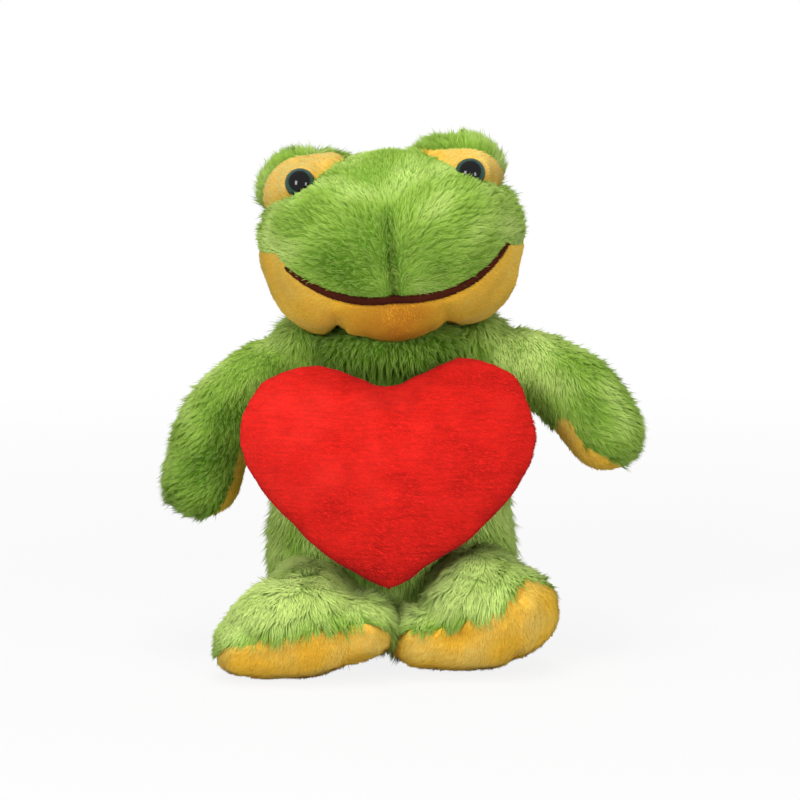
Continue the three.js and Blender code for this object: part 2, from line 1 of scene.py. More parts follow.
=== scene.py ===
# %% [markdown]
# This frog is a sewn soft toy: cloth panels with a fur-like pile, stuffed with loose fibre. The packed
# model says where every panel and joint is, so the script starts by loading it.

# %% Open the imported frog
import math
from contextlib import contextmanager
import bmesh
import bpy
import numpy as np
from mathutils import Matrix, Vector, noise
from mathutils.bvhtree import BVHTree


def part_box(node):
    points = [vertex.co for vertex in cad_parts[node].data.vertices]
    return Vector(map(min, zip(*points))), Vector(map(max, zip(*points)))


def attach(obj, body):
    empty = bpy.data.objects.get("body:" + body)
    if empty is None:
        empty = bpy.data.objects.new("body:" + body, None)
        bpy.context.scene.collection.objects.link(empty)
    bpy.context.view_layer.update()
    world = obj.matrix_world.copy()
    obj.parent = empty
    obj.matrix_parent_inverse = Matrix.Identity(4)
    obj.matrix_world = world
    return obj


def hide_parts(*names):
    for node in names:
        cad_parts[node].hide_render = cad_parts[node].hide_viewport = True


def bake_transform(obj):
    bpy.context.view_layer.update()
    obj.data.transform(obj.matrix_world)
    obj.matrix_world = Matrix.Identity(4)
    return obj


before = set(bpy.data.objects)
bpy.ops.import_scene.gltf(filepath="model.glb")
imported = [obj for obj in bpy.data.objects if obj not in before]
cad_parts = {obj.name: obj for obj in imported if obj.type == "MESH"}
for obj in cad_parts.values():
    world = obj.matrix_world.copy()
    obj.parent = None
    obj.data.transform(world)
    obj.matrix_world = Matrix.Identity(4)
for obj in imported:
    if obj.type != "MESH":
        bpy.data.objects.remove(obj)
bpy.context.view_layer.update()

# %% [markdown]
# Blender works in metres, but a toy is easier to think about in millimetres. One helper turns
# millimetres into the scene's metres, so that every size below is a real one.

# %% Millimetres
MM = 0.001


def mm(x, y=0.0, z=0.0):
    """A place given in millimetres, as the scene's metres."""
    return Vector((x, y, z)) * MM


print("one metre is", round(1 / MM), "mm")

# %% [markdown]
# A product photograph of a small toy is taken from a little over a metre away with a long lens, which
# keeps the feet from looking larger than the head. The camera stands a little higher than the toy's
# head, looks down by eight degrees and takes in a square 360 mm wide.

# %% Camera
CAMERA_DISTANCE = 1400
VIEW_WIDTH = 360
VIEW_ELEVATION = math.radians(8)
VIEW_CENTRE = mm(4, -30, 119.4)
SENSOR_WIDTH = 36


def in_scene(name, data):
    """Puts a camera, a lamp, a mesh or a curve into the scene as an object."""
    placed = bpy.data.objects.new(name, data)
    bpy.context.scene.collection.objects.link(placed)
    return placed


camera_data = bpy.data.cameras.new("camera")
camera_data.sensor_width = SENSOR_WIDTH
camera_data.lens = SENSOR_WIDTH * CAMERA_DISTANCE / VIEW_WIDTH
camera = in_scene("camera", camera_data)
toward_camera = Vector((0, -math.cos(VIEW_ELEVATION), math.sin(VIEW_ELEVATION)))
camera.location = VIEW_CENTRE + toward_camera * CAMERA_DISTANCE * MM
camera.rotation_euler = (math.radians(90) - VIEW_ELEVATION, 0, 0)
bpy.context.scene.camera = camera
bpy.context.scene.view_settings.view_transform = "Standard"
print("camera lens in mm:", camera_data.lens)

# %% [markdown]
# Materials are built from nodes. Colours are written as sRGB hex, as a paint program shows them, and
# one function turns them into the linear values that the renderer works with. Another adds a node,
# sets it and links it in one line, so a material reads from top to bottom. Even values, such as a
# roughness, sit on the shader's own sockets.

# %% Colour and node helpers


def linear(hex_colour):
    """The linear red, green, blue and alpha of an sRGB hex colour."""
    channels = [int(hex_colour[n:n + 2], 16) / 255 for n in (1, 3, 5)]
    return [c / 12.92 if c <= 0.04045 else ((c + 0.055) / 1.055) ** 2.4 for c in channels] + [1.0]


def add(tree, kind, inputs=(), stops=(), **settings):
    """Adds a node. An input is a plain value or what it is linked from: an output socket, or a node,
    which stands for its first output. A colour ramp also gets its stops, each a position and a hex
    colour."""
    node = tree.nodes.new(kind)
    for name, value in settings.items():
        setattr(node, name, value)
    for name, value in dict(inputs).items():
        if isinstance(value, bpy.types.Node):
            value = value.outputs[0]
        if isinstance(value, bpy.types.NodeSocket):
            tree.links.new(value, node.inputs[name])
        else:
            node.inputs[name].default_value = value
    for n, (position, colour) in enumerate(stops):
        if n == len(node.color_ramp.elements):
            node.color_ramp.elements.new(position)
        node.color_ramp.elements[n].position = position
        node.color_ramp.elements[n].color = linear(colour)
    return node


def new_material(name, roughness, sheen=0.0, sheen_tint="#FFFFFF", **sockets):
    """A Principled material, with the tree and the shader that its patterns are linked to."""
    material = bpy.data.materials.new(name)
    material.use_nodes = True
    shader = material.node_tree.nodes["Principled BSDF"]
    values = {"Roughness": roughness, "Sheen Weight": sheen, "Sheen Tint": linear(sheen_tint),
              **sockets}
    for socket, value in values.items():
        shader.inputs[socket].default_value = value
    return material, material.node_tree, shader


print("mid grey #808080 is", round(linear("#808080")[0], 3), "in linear light")

# %% [markdown]
# Plush is a knitted backing with a cut pile of fine polyester fibres. Each fibre is painted darkest at
# its root, as painted shade where light hardly reaches, and palest at its tip. Where the pile is stroked
# flat the eye sees the fibres' pale sides, and where it is ruffled it sees deeper and richer colour. Some
# pieces also raise their nap in shade and lower it where light falls, so its colour is partly painted
# light and shade. The tufts below carry three attributes for this: "along" runs from 0 at the root to 1
# at the tip, "nap" from 0 where the pile is stroked to 1 where it is ruffled, and "shade" is one random
# value for each tuft, lowered at a lock's parting as painted shade.

# %% Pile materials
PILE_ROUGHNESS = 0.85
CLOTH_GLOSS = 0.15
USUAL_SHADE = 0.45
USUAL_NOISE = 0.5


def pile_material(name, naps, tip, root_share, grain, patchy, patch_size, streaky, streaks, sheen,
                  glow=None):
    """Polyester pile. Its three colours are for stroked, usual and ruffled nap, which some pieces also
    raise in shade and lower in light, as painted light and shade. The glow tints the sheen at its edges.

    Grain, patchy and streaky say how much the brightness differs from tuft to tuft, from patch to
    patch and between streaks. The sizes of patches and streaks are in millimetres."""
    material, tree, shader = new_material(name, PILE_ROUGHNESS, sheen, glow or tip,
                                          **{"Specular IOR Level": CLOTH_GLOSS})
    along = add(tree, "ShaderNodeAttribute", attribute_name="along").outputs["Fac"]
    shade = add(tree, "ShaderNodeAttribute", attribute_name="shade").outputs["Fac"]
    nap = add(tree, "ShaderNodeAttribute", attribute_name="nap").outputs["Fac"]
    place = add(tree, "ShaderNodeTexCoord").outputs["Object"]
    patches = add(tree, "ShaderNodeTexNoise", {"Vector": place, "Scale": 1 / (patch_size * MM),
                                               "Detail": 2.0})
    flattened = add(tree, "ShaderNodeMapping", {"Vector": place,
                                                "Scale": [1 / (size * MM) for size in streaks]})
    lines = add(tree, "ShaderNodeTexNoise", {"Vector": flattened, "Scale": 1.0,
                                             "Detail": 1.0, "Distortion": 0.6})
    body = add(tree, "ShaderNodeValToRGB", {"Fac": nap}, stops=zip((0.0, 0.5, 1.0), naps))
    bright = 1 - USUAL_SHADE * grain - USUAL_NOISE * patchy - USUAL_NOISE * streaky
    for source, amount in ((shade, grain), (patches.outputs["Fac"], patchy),
                           (lines.outputs["Fac"], streaky)):
        bright = add(tree, "ShaderNodeMath", {0: source, 1: amount, 2: bright},
                     operation="MULTIPLY_ADD")
    # Painted shade: each fibre is darker towards its root.
    depth = add(tree, "ShaderNodeMapRange", {"Value": along, "From Max": 0.5, "To Min": root_share,
                                             "To Max": 1.0})
    level = add(tree, "ShaderNodeMath", {0: bright, 1: depth}, operation="MULTIPLY")
    tinted = add(tree, "ShaderNodeVectorMath", {0: body.outputs["Color"], "Scale": level},
                 operation="SCALE")
    tipping = add(tree, "ShaderNodeMapRange", {"Value": along, "From Min": 0.4, "To Max": 0.35})
    tipped = add(tree, "ShaderNodeMix", {0: tipping, 6: tinted, 7: linear(tip)}, data_type="RGBA")
    tree.links.new(tipped.outputs[2], shader.inputs["Base Color"])
    return material


green_pile = pile_material("green_long_pile_polyester", ("#C8E27E", "#8CB240", "#5C8618"), "#CCE288",
                           root_share=0.58, grain=0.26, patchy=0.3, patch_size=16, streaky=0.3,
                           streaks=(6, 6, 6), sheen=0.06)
golden_pile = pile_material("golden_minky_polyester", ("#DCCB7C", "#F5C339", "#C47008"), "#EDD070",
                            root_share=0.78, grain=0.06, patchy=0.12, patch_size=14, streaky=0.14,
                            streaks=(6, 6, 3), sheen=0.05)
red_pile = pile_material("red_minky_polyester", ("#E23026", "#CE1C12", "#A01009"), "#D2261C",
                         root_share=0.85, grain=0.04, patchy=0.26, patch_size=22, streaky=0.7,
                         streaks=(11, 11, 1.2), sheen=0.2, glow="#F0506A")
brown_pile = pile_material("brown_chenille_polyester", ("#6A2A14", "#481806", "#2C0A02"), "#5A2412",
                           root_share=0.6, grain=0.3, patchy=0.1, patch_size=10, streaky=0.3,
                           streaks=(2, 2, 2), sheen=0.03)
print("pile materials:", green_pile.name, golden_pile.name, red_pile.name, brown_pile.name)

# %% [markdown]
# Under the pile lies the knitted backing. It only shows as a glimpse between tufts, so its fine
# loops are a small bump about a millimetre apart. Each finished cloth is a pair of its backing, which
# the skin itself shows, and its pile, which the tufts bring with them.

# %% Backing materials
BACKING_ROUGHNESS = 0.9
LOOP_SIZE = 1.0
LOOP_HEIGHT = 0.3


def backing_material(name, valley, crest):
    """Knitted polyester jersey, dyed like its pile and shaded by it."""
    material, tree, shader = new_material(name, BACKING_ROUGHNESS,
                                          **{"Specular IOR Level": CLOTH_GLOSS})
    place = add(tree, "ShaderNodeTexCoord").outputs["Object"]
    loops = add(tree, "ShaderNodeTexVoronoi", {"Vector": place, "Scale": 1 / (LOOP_SIZE * MM)})
    bump = add(tree, "ShaderNodeBump", {"Height": loops.outputs["Distance"], "Strength": 0.4,
                                        "Distance": LOOP_HEIGHT * MM})
    tree.links.new(bump.outputs[0], shader.inputs["Normal"])
    mixed = add(tree, "ShaderNodeValToRGB", {"Fac": loops.outputs["Distance"]},
                stops=[(0.0, valley), (1.0, crest)])
    tree.links.new(mixed.outputs["Color"], shader.inputs["Base Color"])
    return material


green_cloth = (backing_material("green_knitted_backing", "#7AA83E", "#5F8C2A"), green_pile)
golden_cloth = (backing_material("golden_knitted_backing", "#E8AE38", "#DC9C24"), golden_pile)
red_cloth = (backing_material("red_knitted_backing", "#E6241C", "#D21A14"), red_pile)
brown_cloth = (backing_material("brown_chenille_core", "#481806", "#300C02"), brown_pile)
for cloth in (green_cloth, golden_cloth, red_cloth, brown_cloth):
    print("cloth:", " under ".join(material.name for material in cloth))

# %% [markdown]
# A skin starts as plain ellipsoids where the stuffing bulges. A voxel remesh melts them into one
# closed skin with even faces, and smoothing draws a soft valley where two bulges meet, as taut cloth
# does. The voxel is in millimetres, and the rounds say how often the skin is smoothed.

# %% Skins from overlapping ellipsoids
LUMP_SIZE = 18


def dress(piece, *materials):
    """Gives a piece its materials."""
    for material in materials:
        piece.data.materials.append(material)


def object_from(shape, name, *materials):
    """Turns a bmesh into a scene object with these materials."""
    mesh = bpy.data.meshes.new(name)
    shape.to_mesh(mesh)
    shape.free()
    piece = in_scene(name, mesh)
    dress(piece, *materials)
    return piece


def make_real(piece):
    """Replaces the mesh by what its modifiers make of it."""
    graph = bpy.context.evaluated_depsgraph_get()
    finished = bpy.data.meshes.new_from_object(piece.evaluated_get(graph), depsgraph=graph,
                                               preserve_all_data_layers=True)
    piece.modifiers.clear()
    old = piece.data
    piece.data = finished
    bpy.data.meshes.remove(old)
    finished.name = piece.name


@contextmanager
def reshaping(piece):
    """Opens a piece's mesh as a bmesh, and writes it back when the block under "with" ends."""
    surface = bmesh.new()
    surface.from_mesh(piece.data)
    yield surface
    surface.to_mesh(piece.data)
    surface.free()


def ease(surface, rounds):
    """Smooths a bmesh, halfway to its neighbours' average in each round."""
    for _ in range(rounds):
        bmesh.ops.smooth_vert(surface, verts=surface.verts, factor=0.5, use_axis_x=True,
                              use_axis_y=True, use_axis_z=True)


def add_ellipsoid(shape, centre, radii, turn=Matrix.Identity(4), inset=0.0, fineness=4):
    """An ellipsoid in millimetres, drawn in by the inset."""
    reach = [(radius - inset) * MM for radius in radii]
    place = turn @ Matrix.Translation(mm(*centre)) @ Matrix.Diagonal((*reach, 1))
    bmesh.ops.create_icosphere(shape, subdivisions=fineness, radius=1, matrix=place)


def skin(name, shape, voxel, rounds, lump=0.6):
    """Melts a bmesh of overlapping forms into one smooth and slightly lumpy skin."""
    piece = object_from(shape, name)
    remesh = piece.modifiers.new("melt", "REMESH")
    remesh.mode = "VOXEL"
    remesh.voxel_size = voxel * MM
    make_real(piece)
    with reshaping(piece) as surface:
        ease(surface, rounds)
        surface.normal_update()
        for vert in surface.verts:
            vert.co += vert.normal * noise.noise(vert.co / (LUMP_SIZE * MM)) * lump * MM
    print(name, "skin:", len(piece.data.polygons), "faces")
    return piece


# %% [markdown]
# A skin is cut along its seams into the panels that the toy is sewn from. Each face goes to one panel
# by the place of its centre, so a seam is a short formula and not a list of faces.

# %% Cut a skin into panels


def cut_panels(source, panel_at, panels):
    """Cuts a skin up. Each face goes to the panel that panel_at names for its centre in millimetres."""
    pieces = {}
    own_panels = [panel_at(face.center / MM) for face in source.data.polygons]
    for panel, (name, cloth) in panels.items():
        shape = bmesh.new()
        shape.from_mesh(source.data)
        others = [face for face, own in zip(shape.faces, own_panels) if own != panel]
        bmesh.ops.delete(shape, geom=others, context="FACES")
        pieces[panel] = object_from(shape, name, *cloth)
        print(name, "cut:", len(pieces[panel].data.polygons), "faces before its pile")
    bpy.data.objects.remove(source)
    return pieces


# %% [markdown]
# A few soft curves shape nearly everything below: a step from 0 to 1, straight or eased, and a hump
# that fades away on both sides of its middle. They work on one number or on an array of numbers.

# %% Soft steps and humps


def ramp_up(value, start, end):
    """0 before the start, 1 after the end and a straight line between them."""
    return np.clip((value - start) / (end - start), 0, 1)


def smooth_step(value, start, end):
    """0 before the start, 1 after the end and an even curve between them."""
    share = ramp_up(value, start, end)
    return share * share * (3 - 2 * share)


def hump(value, centre, width):
    """1 at the centre, about a third one width away from it and nearly 0 from two widths on."""
    return np.exp(-((value - centre) / width) ** 2)


def fade(value, width):
    """1 up to zero, and beyond it dying away by two thirds in every width."""
    return np.exp(-np.maximum(value, 0) / width)


print("half-way up a step:", smooth_step(1, 0, 2), "and a hump's side:", round(hump(1, 0, 1), 2))

# %% [markdown]
# The pile itself is real geometry, so that the silhouette is furry from every side. One tuft is a thin
# three-sided spike. Most are straight and stand close together, and fewer, longer ones are bent.

# %% One tuft
TUFT_BEND = 0.22
TUFT_BELLY = 0.9


def tuft(name, material, middle_rings):
    """A closed three-sided spike of unit length and width, with its attribute from root to tip."""
    shape = bmesh.new()
    bmesh.ops.create_cone(shape, cap_ends=True, segments=3, radius1=0.5, radius2=0.0, depth=1.0,
                          matrix=Matrix.Translation((0, 0, 0.5)))
    bmesh.ops.remove_doubles(shape, verts=shape.verts, dist=1e-5)
    for ring in middle_rings:
        everything = shape.verts[:] + shape.edges[:] + shape.faces[:]
        bmesh.ops.bisect_plane(shape, geom=everything, plane_co=(0, 0, ring), plane_no=(0, 0, 1))
    along = shape.verts.layers.float.new("along")
    for vert in shape.verts:
        height = vert.co.z
        vert[along] = height
        fuller = 1 + TUFT_BELLY * math.sin(height * math.pi)
        vert.co.x = vert.co.x * fuller - TUFT_BEND * height * height
        vert.co.y *= fuller
    bmesh.ops.triangulate(shape, faces=shape.faces)
    for face in shape.faces:
        face.smooth = True
    piece = object_from(shape, name, material)
    print(name, "has", len(piece.data.polygons), "triangles")
    return piece


green_tuft = tuft("green_tuft", green_pile, [])
green_guard = tuft("green_guard", green_pile, [0.45])
golden_tuft = tuft("golden_tuft", golden_pile, [])
red_tuft = tuft("red_tuft", red_pile, [])
brown_tuft = tuft("brown_tuft", brown_pile, [])

# %% [markdown]
# Geometry nodes scatter the tufts evenly over a skin and lay them along its combing direction. Cut
# pile never stays even: fibres lean together into locks. A Voronoi texture gives every spot the centre
# of its own cell, and each tuft leans a little towards it, with painted shade darkening the tufts at
# the parting where two cells meet. Where the nap is ruffled the locks are tighter and stand up more.
# The softness says how far a tuft is shaded as the cloth under it is, which is what makes short pile
# look like velvet.

# %% Scatter tufts over a skin
FUR_SOFTNESS = 0.7
STROKED_SOFTNESS = 0.84
VELVET_SOFTNESS = 0.93
LENGTH_SPREAD = (0.7, 1.25)
LIFT_SPREAD = (0.6, 1.4)
STROKED_LIFT = 0.65
RUFFLED_LIFT = 0.9
STROKED_LEAN = 0.6
RUFFLED_LEAN = 0.9
SWIRL_LOCKS = 3
BASE_SHADE = 0.4
OWN_SHADE = 0.6
PARTING_SHADE = -0.6


def scatter(tree, cloth, pile, seed):
    """Adds the nodes for one layer of pile. Lengths are in millimetres, lift in degrees."""
    cover = add(tree, "GeometryNodeInputNamedAttribute", {"Name": "cover"}, data_type="FLOAT")
    points = add(tree, "GeometryNodeDistributePointsOnFaces", {
        "Mesh": cloth, "Distance Min": pile["spacing"] * MM, "Density Max": pile["per_mm2"] / MM ** 2,
        "Density Factor": cover, "Seed": seed}, distribute_method="POISSON")
    comb = add(tree, "GeometryNodeInputNamedAttribute", {"Name": "comb"}, data_type="FLOAT_VECTOR")
    growth = add(tree, "GeometryNodeInputNamedAttribute", {"Name": "growth"}, data_type="FLOAT")
    place = add(tree, "GeometryNodeInputPosition")
    locks = add(tree, "ShaderNodeTexVoronoi", {"Vector": place,
                                               "Scale": 1 / (pile["lock"] * MM)})
    to_lock = add(tree, "ShaderNodeVectorMath", {0: locks.outputs["Position"], 1: place},
                  operation="SUBTRACT")
    nap = add(tree, "GeometryNodeInputNamedAttribute", {"Name": "nap"}, data_type="FLOAT")
    tightness = pile["gather"] / (pile["lock"] * MM)
    tight = add(tree, "ShaderNodeMath", {0: nap, 1: RUFFLED_LEAN * tightness,
                                         2: STROKED_LEAN * tightness}, operation="MULTIPLY_ADD")
    gathered = add(tree, "ShaderNodeVectorMath", {0: to_lock, "Scale": tight}, operation="SCALE")
    swirl = add(tree, "ShaderNodeTexNoise", {
        "Vector": place, "Scale": 1 / (SWIRL_LOCKS * pile["lock"] * MM), "Detail": 1.0})
    centred = add(tree, "ShaderNodeVectorMath", {0: swirl.outputs["Color"], 1: (0.5, 0.5, 0.5)},
                  operation="SUBTRACT")
    wandering = add(tree, "ShaderNodeVectorMath", {0: centred, "Scale": pile["wander"]},
                    operation="SCALE")
    spread = pile["stray"]
    stray = add(tree, "FunctionNodeRandomValue", {0: (-spread,) * 3, 1: (spread,) * 3,
                                                  "Seed": seed + 1}, data_type="FLOAT_VECTOR")
    least, most = (math.sin(math.radians(pile["lift"] * share)) for share in LIFT_SPREAD)
    rise = add(tree, "FunctionNodeRandomValue", {2: least, 3: most, "Seed": seed + 2})
    standing = add(tree, "ShaderNodeMath", {0: nap, 1: RUFFLED_LIFT, 2: STROKED_LIFT},
                   operation="MULTIPLY_ADD")
    risen = add(tree, "ShaderNodeMath", {0: rise.outputs[1], 1: standing}, operation="MULTIPLY")
    aimed = add(tree, "ShaderNodeVectorMath", {0: points.outputs["Normal"], "Scale": risen},
                operation="SCALE")
    for part in (comb, gathered, wandering, stray):
        aimed = add(tree, "ShaderNodeVectorMath", {0: aimed, 1: part})
    turn = add(tree, "FunctionNodeAxesToRotation", {0: aimed, 1: points.outputs["Normal"]},
               primary_axis="Z", secondary_axis="X")
    shortest, longest = (pile["length"] * share * MM for share in LENGTH_SPREAD)
    tall = add(tree, "FunctionNodeRandomValue", {2: shortest, 3: longest, "Seed": seed + 3})
    grown = add(tree, "ShaderNodeMath", {0: tall.outputs[1], 1: growth}, operation="MULTIPLY")
    size = add(tree, "ShaderNodeCombineXYZ", {"X": pile["width"] * MM, "Y": pile["width"] * MM,
                                              "Z": grown})
    spikes = add(tree, "GeometryNodeObjectInfo", {"Object": pile["spike"]})
    tufts = add(tree, "GeometryNodeInstanceOnPoints", {
        "Points": points.outputs["Points"], "Instance": spikes.outputs["Geometry"],
        "Rotation": turn, "Scale": size})
    own = add(tree, "FunctionNodeRandomValue", {2: 0.0, 3: OWN_SHADE, "Seed": seed + 4})
    # Painted shade: tufts at a lock's parting get a lower shade value.
    parting = add(tree, "ShaderNodeMath", {0: locks.outputs["Distance"], 1: PARTING_SHADE,
                                           2: own.outputs[1]}, operation="MULTIPLY_ADD")
    tone = add(tree, "ShaderNodeMath", {0: parting, 1: BASE_SHADE})
    toned = add(tree, "GeometryNodeStoreNamedAttribute", {
        "Geometry": tufts, "Name": "shade", "Value": tone}, data_type="FLOAT", domain="INSTANCE")
    return add(tree, "GeometryNodeRealizeInstances", {0: toned}).outputs[0]


def grow(piece, layers, seed, softness=FUR_SOFTNESS):
    """Covers a piece with its layers of pile, shaded partly by the cloth under it, as soft pile is."""
    tree = bpy.data.node_groups.new("pile", "GeometryNodeTree")
    tree.interface.new_socket("Geometry", in_out="INPUT", socket_type="NodeSocketGeometry")
    tree.interface.new_socket("Geometry", in_out="OUTPUT", socket_type="NodeSocketGeometry")
    facing = add(tree, "GeometryNodeInputNormal")
    cloth = add(tree, "GeometryNodeStoreNamedAttribute", {
        "Geometry": add(tree, "NodeGroupInput").outputs[0], "Name": "cloth_facing",
        "Value": facing}, data_type="FLOAT_VECTOR", domain="POINT").outputs[0]
    both = add(tree, "GeometryNodeJoinGeometry")
    tree.links.new(cloth, both.inputs[0])
    for n, pile in enumerate(layers):
        tree.links.new(scatter(tree, cloth, pile, seed + 5 * n), both.inputs[0])
    under = add(tree, "GeometryNodeInputNamedAttribute", {"Name": "cloth_facing"},
                data_type="FLOAT_VECTOR")
    softly = add(tree, "ShaderNodeVectorMath", {0: under, "Scale": softness}, operation="SCALE")
    sharply = add(tree, "ShaderNodeVectorMath", {0: facing, "Scale": 1 - softness}, operation="SCALE")
    shaded = add(tree, "ShaderNodeVectorMath", {0: softly, 1: sharply})
    even = add(tree, "ShaderNodeVectorMath", {0: shaded}, operation="NORMALIZE")
    soft = add(tree, "GeometryNodeSetMeshNormal", {"Mesh": both, "Custom Normal": even}, mode="FREE",
               domain="POINT")
    for spent in ("comb", "growth", "cover", "cloth_facing"):
        soft = add(tree, "GeometryNodeRemoveAttribute", {"Geometry": soft, "Name": spent})
    add(tree, "NodeGroupOutput", {0: soft})
    piece.modifiers.new("pile", "NODES").node_group = tree
    make_real(piece)
    print(piece.name, "with pile:", len(piece.data.polygons), "faces")


# %% [markdown]
# Before its pile is grown, each point of a skin is told how the pile there lies, how long and dense it
# is and how ruffled. Each of these is one value for the whole piece, or a function of the points and
# their normals, so that a few formulas comb the whole toy. The nap also gets soft random patches.

# %% Comb a skin
NAP_PATCH = 14.0


def positions(piece):
    """The points of a piece as rows of x, y and z."""
    points = np.zeros(len(piece.data.vertices) * 3)
    piece.data.vertices.foreach_get("co", points)
    return points.reshape(-1, 3)


def place_all(piece, points):
    """Moves the points of a piece to these rows."""
    piece.data.vertices.foreach_set("co", points.ravel())
    piece.data.update()


def arrows(*parts):
    """One direction for each point, from its x, y and z parts."""
    return np.stack(np.broadcast_arrays(*parts), 1)


def on_points(value, points, normals):
    """The value of a function at each point, or one plain value for all of them."""
    if callable(value):
        return value(points, normals)
    return np.full((len(points), *np.shape(value)), value, dtype=float)


def ruffled(points, base, unrest):
    """The nap's value: soft patches of stroked and ruffled pile around a base value."""
    waves = np.array([noise.noise(Vector(point) / NAP_PATCH) for point in points])
    return np.clip(base + unrest * waves, 0, 1)


def comb(piece, flow, growth=1.0, cover=1.0, nap=0.4, unrest=0.45):
    """Stores on each point how its pile lies, how long, how dense and how ruffled it is."""
    points = positions(piece) / MM
    normals = np.zeros(points.size)
    piece.data.vertices.foreach_get("normal", normals)
    normals = normals.reshape(-1, 3)
    flow = on_points(flow, points, normals)
    flow = flow - normals * (flow * normals).sum(1, keepdims=True)
    flow /= np.maximum(np.linalg.norm(flow, axis=1, keepdims=True), 1e-6)
    piece.data.attributes.new("comb", "FLOAT_VECTOR", "POINT").data.foreach_set("vector", flow.ravel())
    values = {"growth": on_points(growth, points, normals),
              "cover": on_points(cover, points, normals),
              "nap": ruffled(points, on_points(nap, points, normals), unrest)}
    for name, value in values.items():
        piece.data.attributes.new(name, "FLOAT", "POINT").data.foreach_set("value", value)


# %% [markdown]
# The toy's weight presses its cloth and pile flat where it sits. Whatever would reach below the floor
# is moved up on to it, which is simpler than a collision and looks the same.

# %% Settle on the floor
FLOOR_CLEARANCE = 0.15


def settle(piece):
    """Presses whatever reaches below the floor flat against it."""
    points = positions(piece)
    low = points[:, 2] < FLOOR_CLEARANCE * MM
    points[low, 2] = FLOOR_CLEARANCE * MM
    place_all(piece, points)
    print(piece.name, "settled:", int(low.sum()), "points moved up")


# %% [markdown]
# Long pile is about 7 mm long. It is tousled into locks on the legs, hangs shaggy on the body and
# hoods, and is stroked down on the snout and arms. Short pile, known as minky, is cut at 2 mm and lies
# so flat that it looks like velvet, and the mouth's chenille stands up. All kinds are described once
# here: lengths, widths, spacings and lock sizes in millimetres, and the lift in degrees.

# %% The kinds of pile


def long_pile(length, lock, gather, stray, lift=22, width=0.56):
    """Close straight tufts with fewer, longer and bent ones among them."""
    return [dict(spike=green_tuft, per_mm2=2.6, spacing=0.41, length=length, width=width, lift=lift,
                 lock=lock, gather=gather, wander=0.7, stray=stray),
            dict(spike=green_guard, per_mm2=0.35, spacing=0.9, length=1.2 * length, width=0.4,
                 lift=lift + 8, lock=lock, gather=gather + 0.15, wander=0.8, stray=stray + 0.1)]


def minky(spike, length, width, gather, stray=0.12, lift=20):
    """Short pile of one kind of tuft."""
    return [dict(spike=spike, per_mm2=3.4, spacing=0.35, length=length, width=width, lift=lift, lock=3,
                 gather=gather, wander=0.7, stray=stray)]


SHAGGY = long_pile(6.2, 3.6, 0.45, 0.18)
TOUSLED = long_pile(7.4, 8.5, 0.75, 0.2, lift=24, width=0.7)
STROKED = long_pile(4.8, 3.2, 0.55, 0.18)
FINE_GOLDEN = minky(golden_tuft, 1.7, 0.42, 0.12)
FULL_GOLDEN = minky(golden_tuft, 2.4, 0.48, 0.35)
RED_MINKY = minky(red_tuft, 1.8, 0.42, 0.05, stray=0.06, lift=15)
CHENILLE = minky(brown_tuft, 1.1, 0.36, 0.2, stray=0.4, lift=50)
for name, layers in (("shaggy", SHAGGY), ("tousled", TOUSLED), ("stroked", STROKED),
                     ("fine golden", FINE_GOLDEN), ("full golden", FULL_GOLDEN), ("red", RED_MINKY),
                     ("chenille", CHENILLE)):
    print(name, "pile:", " and ".join(f"{layer['length']:.1f} mm" for layer in layers))

# %% [markdown]
# The torso is a pear: a half outline spun round the upright axis and then flattened front to back. A
# mound of filling rises into the head's opening, and one at each shoulder fills the arm's root.

# %% Torso
TORSO_HEIGHT = 145
TORSO_HALF_WIDTH = 57
TORSO_HALF_DEPTH = 42
TORSO_SHARES = [(0, 0), (0.36, 0.001), (0.7, 0.03), (0.92, 0.12), (1, 0.29), (0.97, 0.44),
                (0.88, 0.62), (0.79, 0.78), (0.72, 0.89), (0.6, 0.975), (0, 1)]
TORSO_TURN_STEPS = 48
TORSO_MOUNDS = [((0, -3, 139), (38, 32, 18)), ((-39, 1, 136), (18, 20, 18.5)),
                ((39, 1, 137), (18, 20, 19))]


def spin_outline(shape, outline, steps):
    """Spins a half outline, given as radius and height in millimetres, round the upright axis."""
    points = [shape.verts.new(mm(radius, 0, height)) for radius, height in outline]
    edges = [shape.edges.new(pair) for pair in zip(points, points[1:])]
    bmesh.ops.spin(shape, geom=points + edges, cent=(0, 0, 0), axis=(0, 0, 1), angle=math.tau,
                   steps=steps, use_merge=True)
    bmesh.ops.remove_doubles(shape, verts=shape.verts, dist=1e-6)


def torso_shape(inset):
    """The pear and its mounds, drawn in by the inset to leave room for the pile."""
    shape = bmesh.new()
    height = TORSO_HEIGHT - inset
    outline = [(share * (TORSO_HALF_WIDTH - inset), up * height) for share, up in TORSO_SHARES]
    spin_outline(shape, outline, TORSO_TURN_STEPS)
    flatness = (TORSO_HALF_DEPTH - inset) / (TORSO_HALF_WIDTH - inset)
    bmesh.ops.scale(shape, vec=(1, flatness, 1), verts=shape.verts)
    bmesh.ops.recalc_face_normals(shape, faces=shape.faces)
    for centre, radii in TORSO_MOUNDS:
        add_ellipsoid(shape, centre, radii, inset=inset)
    return shape


TORSO_SEAM_BACK = 6
TORSO_INSET = 1.0
torso_skin = skin("torso_skin", torso_shape(TORSO_INSET), voxel=2.2, rounds=4)
torso = cut_panels(torso_skin, lambda place: "front" if place.y < TORSO_SEAM_BACK else "back", {
    "front": ("torso_front_plush", green_cloth), "back": ("torso_back_plush", green_cloth)})

# %% [markdown]
# The body's pile hangs straight down. It is ruffled on the chest, between the arms and above the heart,
# where it is also painted darker as shade under the head, and thinned where nothing of it shows, which
# keeps the mesh lighter.

# %% Grow the torso's pile
DOWNWARD = (0, 0, -1)
HIDDEN_COVER = 0.35


